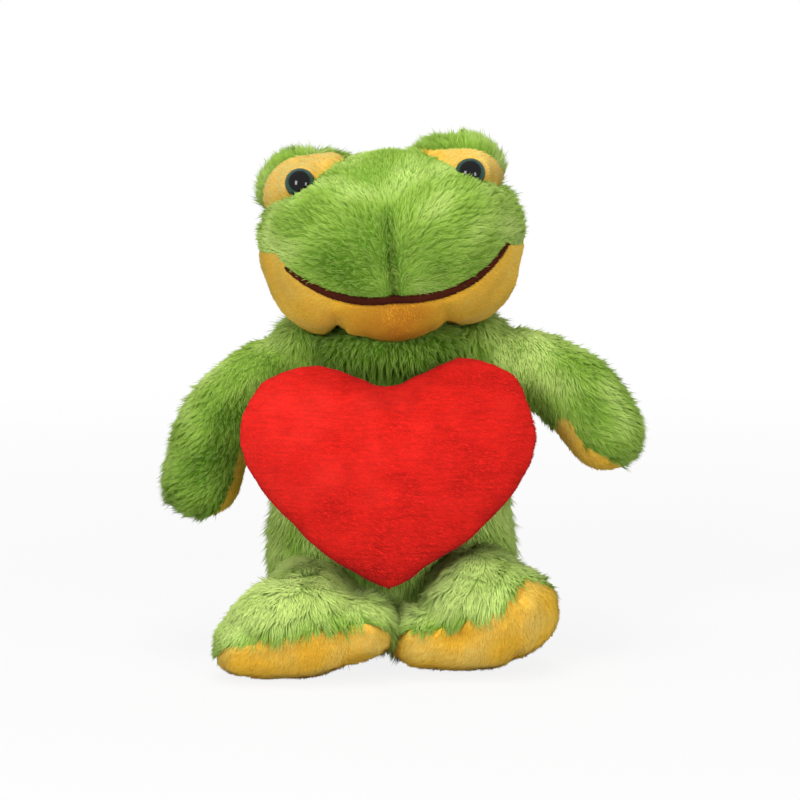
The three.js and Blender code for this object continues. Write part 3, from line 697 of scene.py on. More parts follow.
def torso_cover(points, normals):
    """Thin pile where nothing shows: behind the heart, under the head and under the seat."""
    x, y, z = points.T
    behind_heart = (np.abs(x) < 45) & (y < -20) & (z > 35) & (z < 112)
    under_head = (np.hypot(x, y) < 24) & (z > 140)
    return np.where(behind_heart | under_head | (normals[:, 2] < -0.7), HIDDEN_COVER, 1.0)


def torso_nap_and_shade(points, normals):
    """Ruffled on the chest between the arms and the heart, with painted shade under the head."""
    x, y, z = points.T
    return 0.35 + 0.8 * hump(x, 0, 44) * smooth_step(z, 90, 112) * smooth_step(-y, 4, 22)


for seed, piece in enumerate(torso.values()):
    comb(piece, DOWNWARD, cover=torso_cover, nap=torso_nap_and_shade)
    grow(piece, SHAGGY, seed=seed * 10)
    settle(piece)
    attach(piece, "torso")
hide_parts("torso_front_panel", "torso_stuffing")
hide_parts("torso_back_panel", "pellet_bag")

# %% [markdown]
# The head is the largest piece of shaping. A flat skull, a two-lobed snout, round cheeks, a chin with
# two jowls and the eye hoods are melted into one skin, drawn about the head's own centre and then
# rolled by four degrees, as the toy holds its head. The long seam down the snout pulls the cloth in.

# %% Head form
HEAD_CENTRE = (0, -8, 192)
HEAD_ROLL = math.radians(-4.2)
HEAD_PLACE = Matrix.Translation(mm(*HEAD_CENTRE)) @ Matrix.Rotation(HEAD_ROLL, 4, "Y")
HEAD_TURN = HEAD_PLACE.to_3x3()
HEAD_INVERSE = HEAD_PLACE.inverted()
HEAD_INSET = 1.6
HOOD_INSET = 0.6
MIDDLE_FORMS = {"skull": ((0, 8, -2), (55, 40, 38)), "chin": ((0, -12, -18.8), (30, 40, 28.5)),
                "crown": ((0, -10, 4.8), (44, 38, 36))}
PAIRED_FORMS = {"snout": ((13, -14, -5), (45, 46, 38)), "brow": ((20, -17, 2), (37, 37, 33)),
                "cheek": ((34, -6, -3), (27.5, 38, 30)), "jowl": ((30, -5, -14), (28.5, 39, 28.5))}
HOODS = {-1: [((38.8, -5, 23.5), (19.2, 22, 18.5)), ((27, -3, 21.5), (19, 20, 19))],
         1: [((35.2, -5, 24.6), (18.3, 22, 19)), ((25.6, -3, 23), (18.8, 20, 20.2))]}


def head_shape():
    """The skull, chin and crown, and for each side the snout's lobe, brow, cheek, jowl and hood."""
    shape = bmesh.new()
    for centre, radii in MIDDLE_FORMS.values():
        add_ellipsoid(shape, centre, radii, HEAD_PLACE, HEAD_INSET)
    for side in (-1, 1):
        for (x, y, z), radii in PAIRED_FORMS.values():
            add_ellipsoid(shape, (side * x, y, z), radii, HEAD_PLACE, HEAD_INSET)
        for (x, y, z), radii in HOODS[side]:
            add_ellipsoid(shape, (side * x, y, z), radii, HEAD_PLACE, HOOD_INSET)
    return shape


def in_head(point):
    """A place in millimetres, as seen from the head's own centre and roll."""
    return (HEAD_INVERSE @ (Vector(point) * MM)) / MM


def many_in_head(points):
    """The same for rows of places."""
    turn = np.array(HEAD_INVERSE)
    return points @ turn[:3, :3].T + turn[:3, 3] / MM


def out_of_head(directions):
    """Rows of directions turned from the head's own axes to the toy's."""
    return directions @ np.array(HEAD_PLACE)[:3, :3].T


print("head centre in mm:", HEAD_CENTRE, "rolled by", round(math.degrees(HEAD_ROLL), 1), "degrees")

# %% [markdown]
# The seam lines are short formulas in the head's own millimetres: a curve for each half of the smile,
# a slanted line and a circle for each eye patch, and the long dart that runs down the snout. The face
# is sewn a little unevenly, so where a pair of values stands, the first is for the frog's right side.

# %% Seam lines of the head
MOUTH_LOW = -24
MOUTH_ENDS = (49, 50.8)
MOUTH_RISES = (18.7, 19.2)
MOUTH_CURVES = (2.4, 3.0)
CHEEK_STARTS = (46, 50.8)
CHEEK_RISES = (3.5, -2)
CHEEK_STEP = 5
HEAD_SEAM_BACK = 12
PATCH_ACROSS = (37.2, 35)
PATCH_UP = (20.8, 19.4)
PATCH_RADII = (18.6, 18.2)
PATCH_BACK = 0
PATCH_OUTER_CORNER = (56.4, 15.5)
PATCH_INNER_CORNER = (17.9, 36.4)
PATCH_SLOPE = ((PATCH_INNER_CORNER[1] - PATCH_OUTER_CORNER[1])
               / (PATCH_OUTER_CORNER[0] - PATCH_INNER_CORNER[0]))


def by_side(x, pair):
    """The first value on the frog's right side and the second on its left."""
    return np.where(x < 0, *pair)


def mouth_height(x):
    """The smile, which steps up to the right cheek's seam and down to the left one's."""
    across = np.minimum(np.abs(x) / by_side(x, MOUTH_ENDS), 1)
    smile = MOUTH_LOW + by_side(x, MOUTH_RISES) * across ** by_side(x, MOUTH_CURVES)
    beyond = ramp_up(np.abs(x) - by_side(x, CHEEK_STARTS), 0, CHEEK_STEP)
    return smile + beyond * by_side(x, CHEEK_RISES)


def below_mouth(x, y, z):
    """How far a point lies under the mouth's line."""
    return mouth_height(x) - z


def over_snout(x, z):
    """How far a point lies above the slanted seam between the snout and an eye patch."""
    outer_x, outer_z = PATCH_OUTER_CORNER
    return (z - outer_z - PATCH_SLOPE * (outer_x - np.abs(x))) / math.hypot(1, PATCH_SLOPE)


def from_patch(x, z):
    """How far a point lies outside the circle of its side's eye patch."""
    beside = np.maximum(np.abs(x) - by_side(x, PATCH_ACROSS), 0)
    return np.hypot(beside, z - by_side(x, PATCH_UP)) - by_side(x, PATCH_RADII)


def in_patch(x, y, z):
    """How far a point lies inside an eye patch: over the snout's seam and under the hood's edge."""
    return np.minimum(np.minimum(over_snout(x, z), -from_patch(x, z)), PATCH_BACK - y)


for x in (-50, 0, 50):
    print("mouth at", x, "mm across is", round(float(mouth_height(x)), 1), "mm from the head's centre")

# %% [markdown]
# Short pile is thinner than long pile, so a golden panel's cloth bulges further out than the green
# cloth beside it. The dart pulls a groove into the snout, two gathers notch the jaw's lower edge, the
# snout's seam stands over the eye patch behind it, and each eye's shank presses the cloth flat.

# %% Head skin
DART_TOP = 15
DART_FADE = 12
DART_DEPTH = 3.4
DART_WIDTH = 1.6
GATHER_SPREAD = (26.5, 22.5)
GATHER_DEPTHS = (3.8, 2.8)
GATHER_WIDTH = 4.0
GATHER_TOP = -26
GATHER_FADE = 8
GATHER_BACK = -4
JAW_BULGE = 1.2
JAW_BULGE_END = 52
JAW_BULGE_FADE = 15
PATCH_SINK = 1.6
PATCH_SINK_REACH = 4
PATCH_EDGE = -0.5
SEAM_SOFTNESS = 3.0
SEAM_REACH = 1.6
SLOPE_STEP = 0.1
LEAST_SLOPE = 0.1
EYE_RADIUS = 6.75
EYE_HOLLOW = 11.5
EYE_CENTRES = {"right": (-38.4, -26.9, 28), "left": (37.2, -26.7, 26.9)}
EYE_FACING = {"right": Vector((-0.0285, -0.949, 0.313)).normalized(),
              "left": Vector((0.0285, -0.949, 0.313)).normalized()}


def dart_pull(x, z):
    """How deep the dart draws the snout in."""
    return DART_DEPTH * ramp_up(DART_TOP - z, 0, DART_FADE) * hump(x, 0, DART_WIDTH)


def gather_pull(x, y, z):
    """How deep the gathers draw the jaw's lower edge in."""
    if y > GATHER_BACK:
        return 0
    spread, depth = (pair[0 if x < 0 else 1] for pair in (GATHER_SPREAD, GATHER_DEPTHS))
    return depth * ramp_up(GATHER_TOP - z, 0, GATHER_FADE) * hump(abs(x), spread, GATHER_WIDTH)


def eye_press(place, word):
    """How far a point is pushed along the eye's facing to lie flat behind the eye's rim."""
    offset = place - Vector(EYE_CENTRES[word])
    height = offset.dot(EYE_FACING[word])
    away = (offset - EYE_FACING[word] * height).length
    if away > EYE_HOLLOW or abs(height) > EYE_HOLLOW:
        return 0
    on_cloth = smooth_step(over_snout(place.x, place.z), -1, 2)
    return -height * float((1 - smooth_step(away, EYE_RADIUS, EYE_HOLLOW)) * on_cloth)


def slide_to_line(shape, distance):
    """Moves the head's points that straddle a seam line on to it, so that the cut runs smoothly."""
    for vert in shape.verts:
        signs = {distance(*in_head(face.calc_center_median() / MM)) > 0 for face in vert.link_faces}
        if len(signs) < 2:
            continue
        place = in_head(vert.co / MM)
        value = distance(*place)
        slope = Vector([(distance(*(place + Vector(axis) * SLOPE_STEP)) - value) / SLOPE_STEP
                        for axis in ((1, 0, 0), (0, 1, 0), (0, 0, 1))])
        if slope.length > LEAST_SLOPE and abs(value) < SEAM_REACH:
            vert.co -= HEAD_TURN @ slope * (value / slope.length_squared) * MM


head_skin = skin("head_skin", head_shape(), voxel=1.7, rounds=4, lump=0.5)
with reshaping(head_skin) as surface:
    surface.normal_update()
    for vert in surface.verts:
        x, y, z = in_head(vert.co / MM)
        under = below_mouth(x, y, z)
        pull = gather_pull(x, y, z)
        if y < 0 and under < 0:
            pull += dart_pull(x, z)
        if under > 0 and y < HEAD_SEAM_BACK:
            sides = ramp_up(JAW_BULGE_END - abs(x), 0, JAW_BULGE_FADE)
            pull -= JAW_BULGE * min(1, under / SEAM_SOFTNESS) * sides
        if in_patch(x, y, z) > PATCH_EDGE:
            pull += PATCH_SINK * fade(over_snout(x, z), PATCH_SINK_REACH)
        vert.co -= vert.normal * pull * MM
        place = in_head(vert.co / MM)
        word = "left" if place.x > 0 else "right"
        vert.co += HEAD_TURN @ EYE_FACING[word] * eye_press(place, word) * MM
    slide_to_line(surface, below_mouth)
    slide_to_line(surface, in_patch)
    surface.normal_update()
    head_surface = BVHTree.FromBMesh(surface)

# %% [markdown]
# The head is sewn from seven panels. The seam formulas above say which one a face belongs to. A hood
# reaches a little way down beside its eye patch, which leaves the patch's edge covered.

# %% Cut the head into its panels
HOOD_INNER_EDGE = 14
HOOD_HEM = 2
HEM_REACH = 3


def head_panel(place):
    """The panel that a place on the head's skin belongs to."""
    x, y, z = in_head(place)
    if y > HEAD_SEAM_BACK:
        return "back"
    if below_mouth(x, y, z) > 0:
        return "jaw"
    side = "left" if x > 0 else "right"
    if in_patch(x, y, z) > 0:
        return "patch_" + side
    hem = -HOOD_HEM if from_patch(x, z) > -HEM_REACH else 0
    if over_snout(x, z) > hem and abs(x) > HOOD_INNER_EDGE:
        return "hood_" + side
    return "snout"


head_pieces = cut_panels(head_skin, head_panel, {
    "snout": ("snout_plush", green_cloth), "back": ("head_back_plush", green_cloth),
    "jaw": ("jaw_minky", golden_cloth),
    "hood_left": ("eye_hood_left_plush", green_cloth),
    "hood_right": ("eye_hood_right_plush", green_cloth),
    "patch_left": ("eye_patch_left_minky", golden_cloth),
    "patch_right": ("eye_patch_right_minky", golden_cloth)})

# %% [markdown]
# The snout's pile is shorter than the rest and lies away from the dart, as if stroked outwards. Over
# the eyes it stands up and back, and behind the head it hangs down. Each formula works in the head's
# own millimetres, so a place of 15 is 15 mm above the head's centre.

# %% Grow the head's pile


def snout_flow(points, normals):
    """Combed out from the dart seam, up over the brow and down beside the mouth."""
    x, y, z = many_in_head(points).T
    out = arrows(x, 0, z - np.clip(z, MOUTH_LOW, 4) + 5)
    out /= np.maximum(np.linalg.norm(out, axis=1, keepdims=True), 1e-6)
    return out_of_head(out + np.array((0, 0.25, 0.1)))


def snout_length(points, normals):
    """Shortest at the mouth and on the crown, and a little longer at the cheeks."""
    x, y, z = many_in_head(points).T
    full = 0.88 + 0.05 * ramp_up(np.abs(x), 40, 55) - 0.4 * ramp_up(z, 15, 27)
    return full * (0.42 + 0.58 * ramp_up(z - mouth_height(x), 0, 8))


def snout_nap_and_shade(points, normals):
    """Ruffled on the snout's right half and stroked on the cheeks. Painted shade darkens the dart's
    groove, and painted top light makes the crown paler.
    """
    x, y, z = many_in_head(points).T
    # The dart's term is painted shade in its groove, and the crown's term below painted top light.
    dart = 0.8 * hump(x, 0, 1.7) * (z < DART_TOP)
    right = 0.55 * hump(x, -18, 18) * hump(z, -4, 14)
    return 0.47 + dart + right - 0.05 * smooth_step(z, 10, 26) - 0.2 * smooth_step(np.abs(x), 36, 54)


def hood_flow(points, normals):
    """Combed away from the eye patch, up and back."""
    x, y, z = many_in_head(points).T
    beside = x - np.sign(x) * by_side(x, PATCH_ACROSS)
    return out_of_head(arrows(beside, 3, z - by_side(x, PATCH_UP) + 4))


def back_flow(points, normals):
    """Combed down, a little back and away from the middle."""
    x, y, z = many_in_head(points).T
    return arrows(x / 60, 0.4, -1)


def back_cover(points, normals):
    """Thin pile underneath, where the head sits on the neck."""
    return np.where(normals[:, 2] < -0.8, 0.4, 1.0)


def patch_flow(points, normals):
    """Combed outwards and a little up."""
    x, y, z = many_in_head(points).T
    return out_of_head(arrows(np.sign(x), 0, 0.4))


def patch_painted_shade(points, normals):
    """Palest round the outer edge, and golden along the snout's seam as painted shade under it."""
    x, y, z = many_in_head(points).T
    return 0.35 * fade(over_snout(x, z), 6)


def jaw_flow(points, normals):
    """Combed down and a little outwards."""
    x, y, z = many_in_head(points).T
    return out_of_head(arrows(x / 25, 0, -1))


def jaw_painted_shade(points, normals):
    """Painted shade and red bounce light: deep orange in the middle of the chin, golden at the jowls."""
    x, y, z = many_in_head(points).T
    return 0.38 + 0.5 * hump(x, 0, 22)


GOLDEN_UNREST = 0.14
combings = {"snout": dict(flow=snout_flow, growth=snout_length, nap=snout_nap_and_shade),
            "back": dict(flow=back_flow, growth=0.75, cover=back_cover),
            "hood": dict(flow=hood_flow, growth=0.78, nap=0.45),
            "jaw": dict(flow=jaw_flow, nap=jaw_painted_shade, unrest=GOLDEN_UNREST),
            "patch": dict(flow=patch_flow, nap=patch_painted_shade, unrest=GOLDEN_UNREST)}
piles = {"snout": (STROKED, STROKED_SOFTNESS), "back": (SHAGGY, FUR_SOFTNESS),
         "hood": (SHAGGY, FUR_SOFTNESS), "jaw": (FINE_GOLDEN, VELVET_SOFTNESS),
         "patch": (FINE_GOLDEN, VELVET_SOFTNESS)}
head_nodes = {"snout": ["snout_panel", "head_stuffing"], "back": ["head_back_panel"],
              "jaw": ["jaw_panel"]}
for seed, (region, piece) in enumerate(head_pieces.items()):
    kind = region.split("_")[0]
    pile, softness = piles[kind]
    comb(piece, **combings[kind])
    grow(piece, pile, 100 + seed * 10, softness)
    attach(piece, "head")
    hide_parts(*head_nodes.get(region, ["eye_" + region]))

# %% [markdown]
# The smile is a thick brown chenille cord sewn along the seam between snout and jaw. It starts as a
# curve that lies on the head's cloth, with its thickness on each point. It is made a mesh at once,
# and a short upright pile makes it fuzzy.

# %% Mouth cord
CORD_RADIUS = 1.7
CORD_PROUD = 0.9
CORD_END_SHARE = 0.35
CORD_STEPS = 72
CORD_START = -46.5
CORD_END = 50.8
CORD_EVENING = 10
FAR_IN_FRONT = -100

route = []
for n in range(CORD_STEPS + 1):
    share = n / CORD_STEPS
    x = CORD_START + (CORD_END - CORD_START) * share
    start = HEAD_PLACE @ mm(x, FAR_IN_FRONT, float(mouth_height(x)))
    hit, facing, _, _ = head_surface.ray_cast(start, HEAD_TURN @ Vector((0, 1, 0)))
    route.append((hit + facing * CORD_PROUD * MM, 1 - (1 - CORD_END_SHARE) * abs(2 * share - 1) ** 4))
for _ in range(CORD_EVENING):
    inner = [((a + 2 * b + c) / 4, width) for (a, _), (b, width), (c, _) in
             zip(route, route[1:], route[2:])]
    route = [route[0], *inner, route[-1]]
curve = bpy.data.curves.new("mouth_cord", "CURVE")
curve.dimensions = "3D"
curve.bevel_depth = CORD_RADIUS * MM
curve.bevel_resolution = 3
curve.use_fill_caps = True
spline = curve.splines.new("POLY")
spline.points.add(len(route) - 1)
for point, (place, width) in zip(spline.points, route):
    point.co = (*place, 1)
    point.radius = width
cord_curve = in_scene("mouth_curve", curve)
graph = bpy.context.evaluated_depsgraph_get()
mouth = in_scene("mouth_chenille", bpy.data.meshes.new_from_object(cord_curve.evaluated_get(graph)))
bpy.data.objects.remove(cord_curve)
dress(mouth, *brown_cloth)
mouth.data.shade_smooth()
comb(mouth, (1, 0, 0))
grow(mouth, CHENILLE, seed=180)
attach(mouth, "head")
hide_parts("mouth_cord")
length = sum((b - a).length for (a, _), (b, _) in zip(route, route[1:])) / MM
print("mouth cord:", round(length), "mm long,", len(mouth.data.polygons), "faces")

# %% [markdown]
# A safety eye is one glossy dome of acrylic with its colour under the surface: a black pupil and a thin
# dark green ring. It is spun from its outline, and each ring of faces gets its material by its radius.

# %% Eyes
EYE_DOME = 4.8
EYE_RIM = 1.0
EYE_BACK = 1.0
EYE_BACK_SHARE = 0.9
EYE_ARC_STEPS = 12
EYE_TURN_STEPS = 40
PUPIL_SHARE = 0.74
RING_SHARE = 0.93


def moulded(name, roughness, cloud_size, deep, pale, **sockets):
    """A moulded plastic: an even face with a faint flow of shade, its size in millimetres."""
    material, tree, shader = new_material(name, roughness, **sockets)
    place = add(tree, "ShaderNodeTexCoord").outputs["Object"]
    clouds = add(tree, "ShaderNodeTexNoise", {"Vector": place, "Scale": 1 / (cloud_size * MM),
                                              "Detail": 2.0})
    colour = add(tree, "ShaderNodeValToRGB", {"Fac": clouds.outputs["Fac"]},
                 stops=[(0.3, deep), (0.7, pale)])
    tree.links.new(colour.outputs["Color"], shader.inputs["Base Color"])
    return material


# Acrylic has a polished face, which gives small hard reflections on a deep colour.
ACRYLIC = {"roughness": 0.05, "cloud_size": 2, "IOR": 1.49, "Specular IOR Level": 0.25}
pupil_acrylic = moulded("black_acrylic_pupil", deep="#020202", pale="#070707", **ACRYLIC)
ring_acrylic = moulded("dark_green_acrylic_ring", deep="#14342A", pale="#1F4838", **ACRYLIC)
turns = [math.radians(90 * n / EYE_ARC_STEPS) for n in range(EYE_ARC_STEPS + 1)]
dome = [(EYE_RADIUS * math.sin(turn), EYE_RIM + EYE_DOME * math.cos(turn)) for turn in turns]
back = [(EYE_RADIUS, 0), (EYE_RADIUS * EYE_BACK_SHARE, -EYE_BACK), (0, -EYE_BACK)]
for word in EYE_CENTRES:
    shape = bmesh.new()
    spin_outline(shape, dome + back, EYE_TURN_STEPS)
    bmesh.ops.recalc_face_normals(shape, faces=shape.faces)
    for face in shape.faces:
        share = face.calc_center_median().to_2d().length / (EYE_RADIUS * MM)
        raised = face.calc_center_median().z > EYE_RIM * MM
        face.material_index = 1 if raised and PUPIL_SHARE < share < RING_SHARE else 0
        face.smooth = True
    place = HEAD_PLACE @ Matrix.Translation(mm(*EYE_CENTRES[word]))
    aim = EYE_FACING[word].to_track_quat("Z", "Y").to_matrix().to_4x4()
    bmesh.ops.transform(shape, matrix=place @ aim, verts=shape.verts)
    eye = object_from(shape, f"eye_{word}_dome", pupil_acrylic, ring_acrylic)
    print(eye.name, "is", 2 * EYE_RADIUS, "mm across and has", len(eye.data.polygons), "faces")
    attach(eye, "head")
    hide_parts(f"eye_{word}")

# %% [markdown]
# The arms and thighs are stuffed tubes. A row of spheres along a path, remeshed, makes each one, and a
# smooth curve through a few given points gives an arm its path.

# %% Limb paths
LIMB_INSET = 2.0
CURVE_STEPS = 24


def catmull(points, share):
    """A point on the smooth curve through the given ones."""
    at = share * (len(points) - 1)
    n = min(int(at), len(points) - 2)
    t = at - n
    a, b, c, d = (Vector(points[min(max(n + k, 0), len(points) - 1)]) for k in (-1, 0, 1, 2))
    return 0.5 * (2 * b + (c - a) * t + (2 * a - 5 * b + 4 * c - d) * t ** 2
                  + (3 * b - a - 3 * c + d) * t ** 3)


def tapered(shares, share):
    """A value between the given ones, which are spread evenly."""
    at = share * (len(shares) - 1)
    n = min(int(at), len(shares) - 2)
    return shares[n] + (shares[n + 1] - shares[n]) * (at - n)


def add_tube(shape, place_at, steps, radius, shares):
    """Spheres along a path. Their radii are the shares of the tube's radius along it."""
    for n in range(steps + 1):
        size = radius * tapered(shares, n / steps)
        add_ellipsoid(shape, place_at(n / steps), (size,) * 3, inset=LIMB_INSET, fineness=3)


def nearest_on(path, points):
    """For each point: its share along the path, and its offset from the path."""
    line = np.array([catmull(path, n / CURVE_STEPS) for n in range(CURVE_STEPS + 1)])
    nearest = np.argmin(np.linalg.norm(points[:, None] - line[None], axis=2), 1)
    return nearest / CURVE_STEPS, points - line[nearest]


def buried(points, normals):
    """Thin pile where an arm's or a leg's inner end is sunk in the torso."""
    x, y, z = points.T
    return np.where((np.abs(x) < 36) & (y > -28), HIDDEN_COVER, 1.0)


# %% [markdown]
# The pile runs round the arm, down from its upper side, and outwards over the hand. It is stroked along
# the top and ruffled on the inner side, where the panels meet, and painted darker there as shade. The
# palm is a golden panel on the underside: the part of the hand that faces a set way from the arm's path.

# %% Arms
SHOULDER = (36.2, 0, 132)
ARM_STEPS = 15
ARM_RADIUS = 20
ARM_RADIUS_SHARES = (0.9, 0.96, 1, 0.96)
ARM_SHARES = {"right": ((0, 0, 0), (0.5, 0.4, 0.16), (0.85, 0.8, 0.54), (1, 1, 1)),
              "left": ((0, 0, 0), (0.46, 0.4, 0.06), (0.8, 0.8, 0.45), (1, 1, 1))}
ARM_REACH = {"right": (50, 10, 52), "left": (61, 10, 30)}
ARM_NAPS = (0.4, 0.08)
PALM_STARTS = {"right": 0.72, "left": 0.69}
PALM_EDGES = {"right": 0.5, "left": 0.64}
PALM_FACING = {"right": (0.8, 0.3, -0.35), "left": (-0.45, -0.2, -0.85)}


def arm_path(word, side):
    """The arm's middle line: the shoulder, two points on the way and the hand, in millimetres."""
    reach = ARM_REACH[word]
    return [(side * (SHOULDER[0] + reach[0] * out), SHOULDER[1] - reach[1] * forward,
             SHOULDER[2] - reach[2] * down) for out, forward, down in ARM_SHARES[word]]


def arm_length(points, normals):
    """Stroked short on the upper arm and fuller round the hand."""
    return 0.72 + 0.3 * ramp_up(np.abs(points[:, 0]), 65, 90)


def arm_nap_and_shade(points, normals):
    """Stroked along the upper side, ruffled round the hand and on the inner side, which is painted darker
    as shade.
    """
    x, y, z = points.T
    below = SHOULDER[2] + 20 - 0.012 * np.maximum(np.abs(x) - 40, 0) ** 2 - z
    return by_side(x, ARM_NAPS) + 0.5 * smooth_step(below, 10, 34) + 0.45 * smooth_step(x, 65, 90)


def make_arm(word, side, seed):
    """One arm: its skin, cut into sleeve and palm, with their pile."""
    path = arm_path(word, side)
    palm_facing = Vector(PALM_FACING[word]).normalized()

    def arm_panel(place):
        share, offset = nearest_on(path, np.array([place]))
        turned_to_palm = Vector(offset[0]).normalized().dot(palm_facing) > PALM_EDGES[word]
        return "palm" if share[0] > PALM_STARTS[word] and turned_to_palm else "sleeve"

    def arm_flow(points, normals):
        share, offset = nearest_on(path, points)
        hand = smooth_step(share, 0.55, 0.9)
        return arrows(side * (0.25 + 0.7 * hand), 0, 0.5 * hand - 1)

    shape = bmesh.new()
    add_tube(shape, lambda share: catmull(path, share), ARM_STEPS, ARM_RADIUS, ARM_RADIUS_SHARES)
    arm = cut_panels(skin("arm_skin", shape, voxel=2.0, rounds=3), arm_panel, {
        "sleeve": (f"arm_{word}_plush", green_cloth), "palm": (f"palm_{word}_minky", golden_cloth)})
    comb(arm["sleeve"], arm_flow, arm_length, buried, arm_nap_and_shade)
    comb(arm["palm"], arm_flow, unrest=GOLDEN_UNREST)
    grow(arm["sleeve"], STROKED, seed)
    grow(arm["palm"], FULL_GOLDEN, seed + 10)
    for piece, slot in ((arm["sleeve"], "green_plush"), (arm["palm"], "golden_minky")):
        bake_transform(piece)
    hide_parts(f"arm_{word}_outer_panel", f"arm_{word}_inner_panel",
                f"arm_{word}_stuffing")
    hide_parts(f"palm_{word}")


make_arm("right", -1, seed=200)
make_arm("left", 1, seed=220)

# %% [markdown]
# Each leg is a short thigh that ends in a broad foot. The foot's front is a bar of filling, whose
# height and thickness change across the toes: the right foot lifts its inner side and the left one its
# outer toe. The sole is golden, faces forwards and down, and has a soft fold along its upper edge. Each
# row of a bar says how far out it lies, then its height, its radius and the height of the sole's seam.

# %% Legs
HIPS = {"right": (33, -20, 26), "left": (36, -22, 31)}
LEG_ENDS = {"right": (37, -54, 23), "left": (40, -50, 31)}
LEG_STEPS = 7
LEG_RADIUS = 24.5
LEG_RADIUS_SHARES = (0.94, 1, 1, 0.96)
FOOT_FORWARD = {"right": 62, "left": 53}
FOOT_DEPTH = 24
INSTEPS = {"right": ((42, 22), (33, 26, 23)), "left": ((45, 28), (31, 26, 24))}
FOOT_BARS = {"right": [(12, 22.6, 15.5, 30.7), (30, 18.6, 17, 27.4), (45, 15.6, 17, 24.5),
                       (55, 15, 16.5, 22.7), (65, 14.6, 15, 21)],
             "left": [(13, 16.6, 15, 26), (30, 17, 16.5, 29), (43, 18.2, 17, 32),
                      (50, 20.2, 15.6, 36.5), (59.3, 32, 12.8, 53)]}
BAR_STEPS = 12
SOLE_SLOPE = math.radians(33)
SOLE_BULGE = 1.2
CREASES = {"right": ((20, 0.8), (62, 1.0)), "left": ((19, 1.0), (54, 1.2))}
CREASE_WIDTH = 2.8
CREASE_START = 3
CREASE_FADE = 8
FOLD_BELOW = 6
FOLD_WIDTH = 2
FOLD_DEPTH = 0.7


def foot_bar(word, outward):
    """Height, radius and seam height of the foot's front at a distance from the middle of the toy."""
    rows = np.array(FOOT_BARS[word])
    return [np.interp(outward, rows[:, 0], rows[:, n]) for n in (1, 2, 3)]


def leg_shape(word, side, front):
    """The instep, the bar of the toes and the thigh."""
    shape = bmesh.new()
    (instep, height), radii = INSTEPS[word]
    add_ellipsoid(shape, (side * instep, front, height), radii, inset=LIMB_INSET)
    for outward in np.linspace(FOOT_BARS[word][0][0], FOOT_BARS[word][-1][0], BAR_STEPS):
        height, radius, _ = foot_bar(word, outward)
        add_ellipsoid(shape, (side * outward, front, height), (radius, FOOT_DEPTH, radius),
                      inset=LIMB_INSET, fineness=3)
    start, end = (Vector((side * x, y, z)) for x, y, z in (HIPS[word], LEG_ENDS[word]))
    add_tube(shape, lambda share: start.lerp(end, share), LEG_STEPS, LEG_RADIUS, LEG_RADIUS_SHARES)
    return shape


def make_leg(word, side, seed):
    """One leg: its skin, drawn in at the sole's folds and cut into leg and sole, with their pile."""
    front = -FOOT_FORWARD[word]
    toes = front - FOOT_DEPTH
    instep = INSTEPS[word][0][0]

    def sole_depth(point):
        """How far a point in millimetres lies inside the sole."""
        seam = foot_bar(word, side * point[0])[2]
        return (seam - point[2]) * math.cos(SOLE_SLOPE) - (point[1] - toes) * math.sin(SOLE_SLOPE)

    def above_sole(points):
        """How far each point lies above the sole's seam."""
        return np.array([-sole_depth(point) for point in points])

    def leg_flow(points, normals):
        """Combed forwards and down over the foot, and a little out to both sides."""
        x, y, z = points.T
        return arrows((x - side * instep) / 40 + side * 0.12, -0.7, -1)

    def leg_length(points, normals):
        """Full where the locks hang over the sole's edge, and stroked short on the outer side."""
        edge = fade(above_sole(points), 7) * (points[:, 2] > 12)
        outer = smooth_step(side * points[:, 0], 50, 66)
        return (0.8 + 0.25 * edge) * (1 - 0.45 * outer)

    def leg_nap_and_shade(points, normals):
        """Pale on top, and ruffled where it meets the sole, painted darker there as shade under its
        locks.
        """
        return 0.02 + 0.6 * fade(above_sole(points), 5)

    leg_skin = skin("leg_skin", leg_shape(word, side, front), voxel=2.0, rounds=4)
    with reshaping(leg_skin) as surface:
        surface.normal_update()
        for vert in surface.verts:
            x, y, z = vert.co / MM
            depth = sole_depth((x, y, z))
            if depth > 0:
                pull = FOLD_DEPTH * hump(depth, FOLD_BELOW, FOLD_WIDTH)
                above_floor = ramp_up(z - CREASE_START, 0, CREASE_FADE)
                for place, crease in CREASES[word]:
                    pull += crease * above_floor * hump(side * x, place, CREASE_WIDTH)
                vert.co += vert.normal * (SOLE_BULGE - pull) * min(1, depth / SEAM_SOFTNESS) * MM
    leg = cut_panels(leg_skin, lambda place: "sole" if sole_depth(place) > 0 else "leg", {
        "leg": (f"leg_{word}_plush", green_cloth), "sole": (f"sole_{word}_minky", golden_cloth)})
    comb(leg["leg"], leg_flow, leg_length, buried, leg_nap_and_shade)
    comb(leg["sole"], leg_flow, nap=0.42, unrest=0.3)
    grow(leg["leg"], TOUSLED, seed, STROKED_SOFTNESS)
    grow(leg["sole"], FULL_GOLDEN, seed + 10, STROKED_SOFTNESS)
    for piece, slot in ((leg["leg"], "green_plush"), (leg["sole"], "golden_minky")):
        settle(piece)
        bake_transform(piece)
    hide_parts(f"leg_{word}_panel", f"leg_{word}_stuffing")
    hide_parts(f"sole_{word}")


make_leg("right", -1, seed=300)
make_leg("left", 1, seed=320)

# %% [markdown]
# The heart is a stuffed cushion of red minky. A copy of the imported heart, a little thinner, is
# remeshed and blown up by a short cloth simulation with air pressure and no gravity, as filling pushes
# cloth out. A cap keeps it in its place.

# %% Stuff a cushion with a cloth simulation
STUFFING_FRAMES = 20
STUFFING_PRESSURE = 4.0
STUFFING_QUALITY = 5


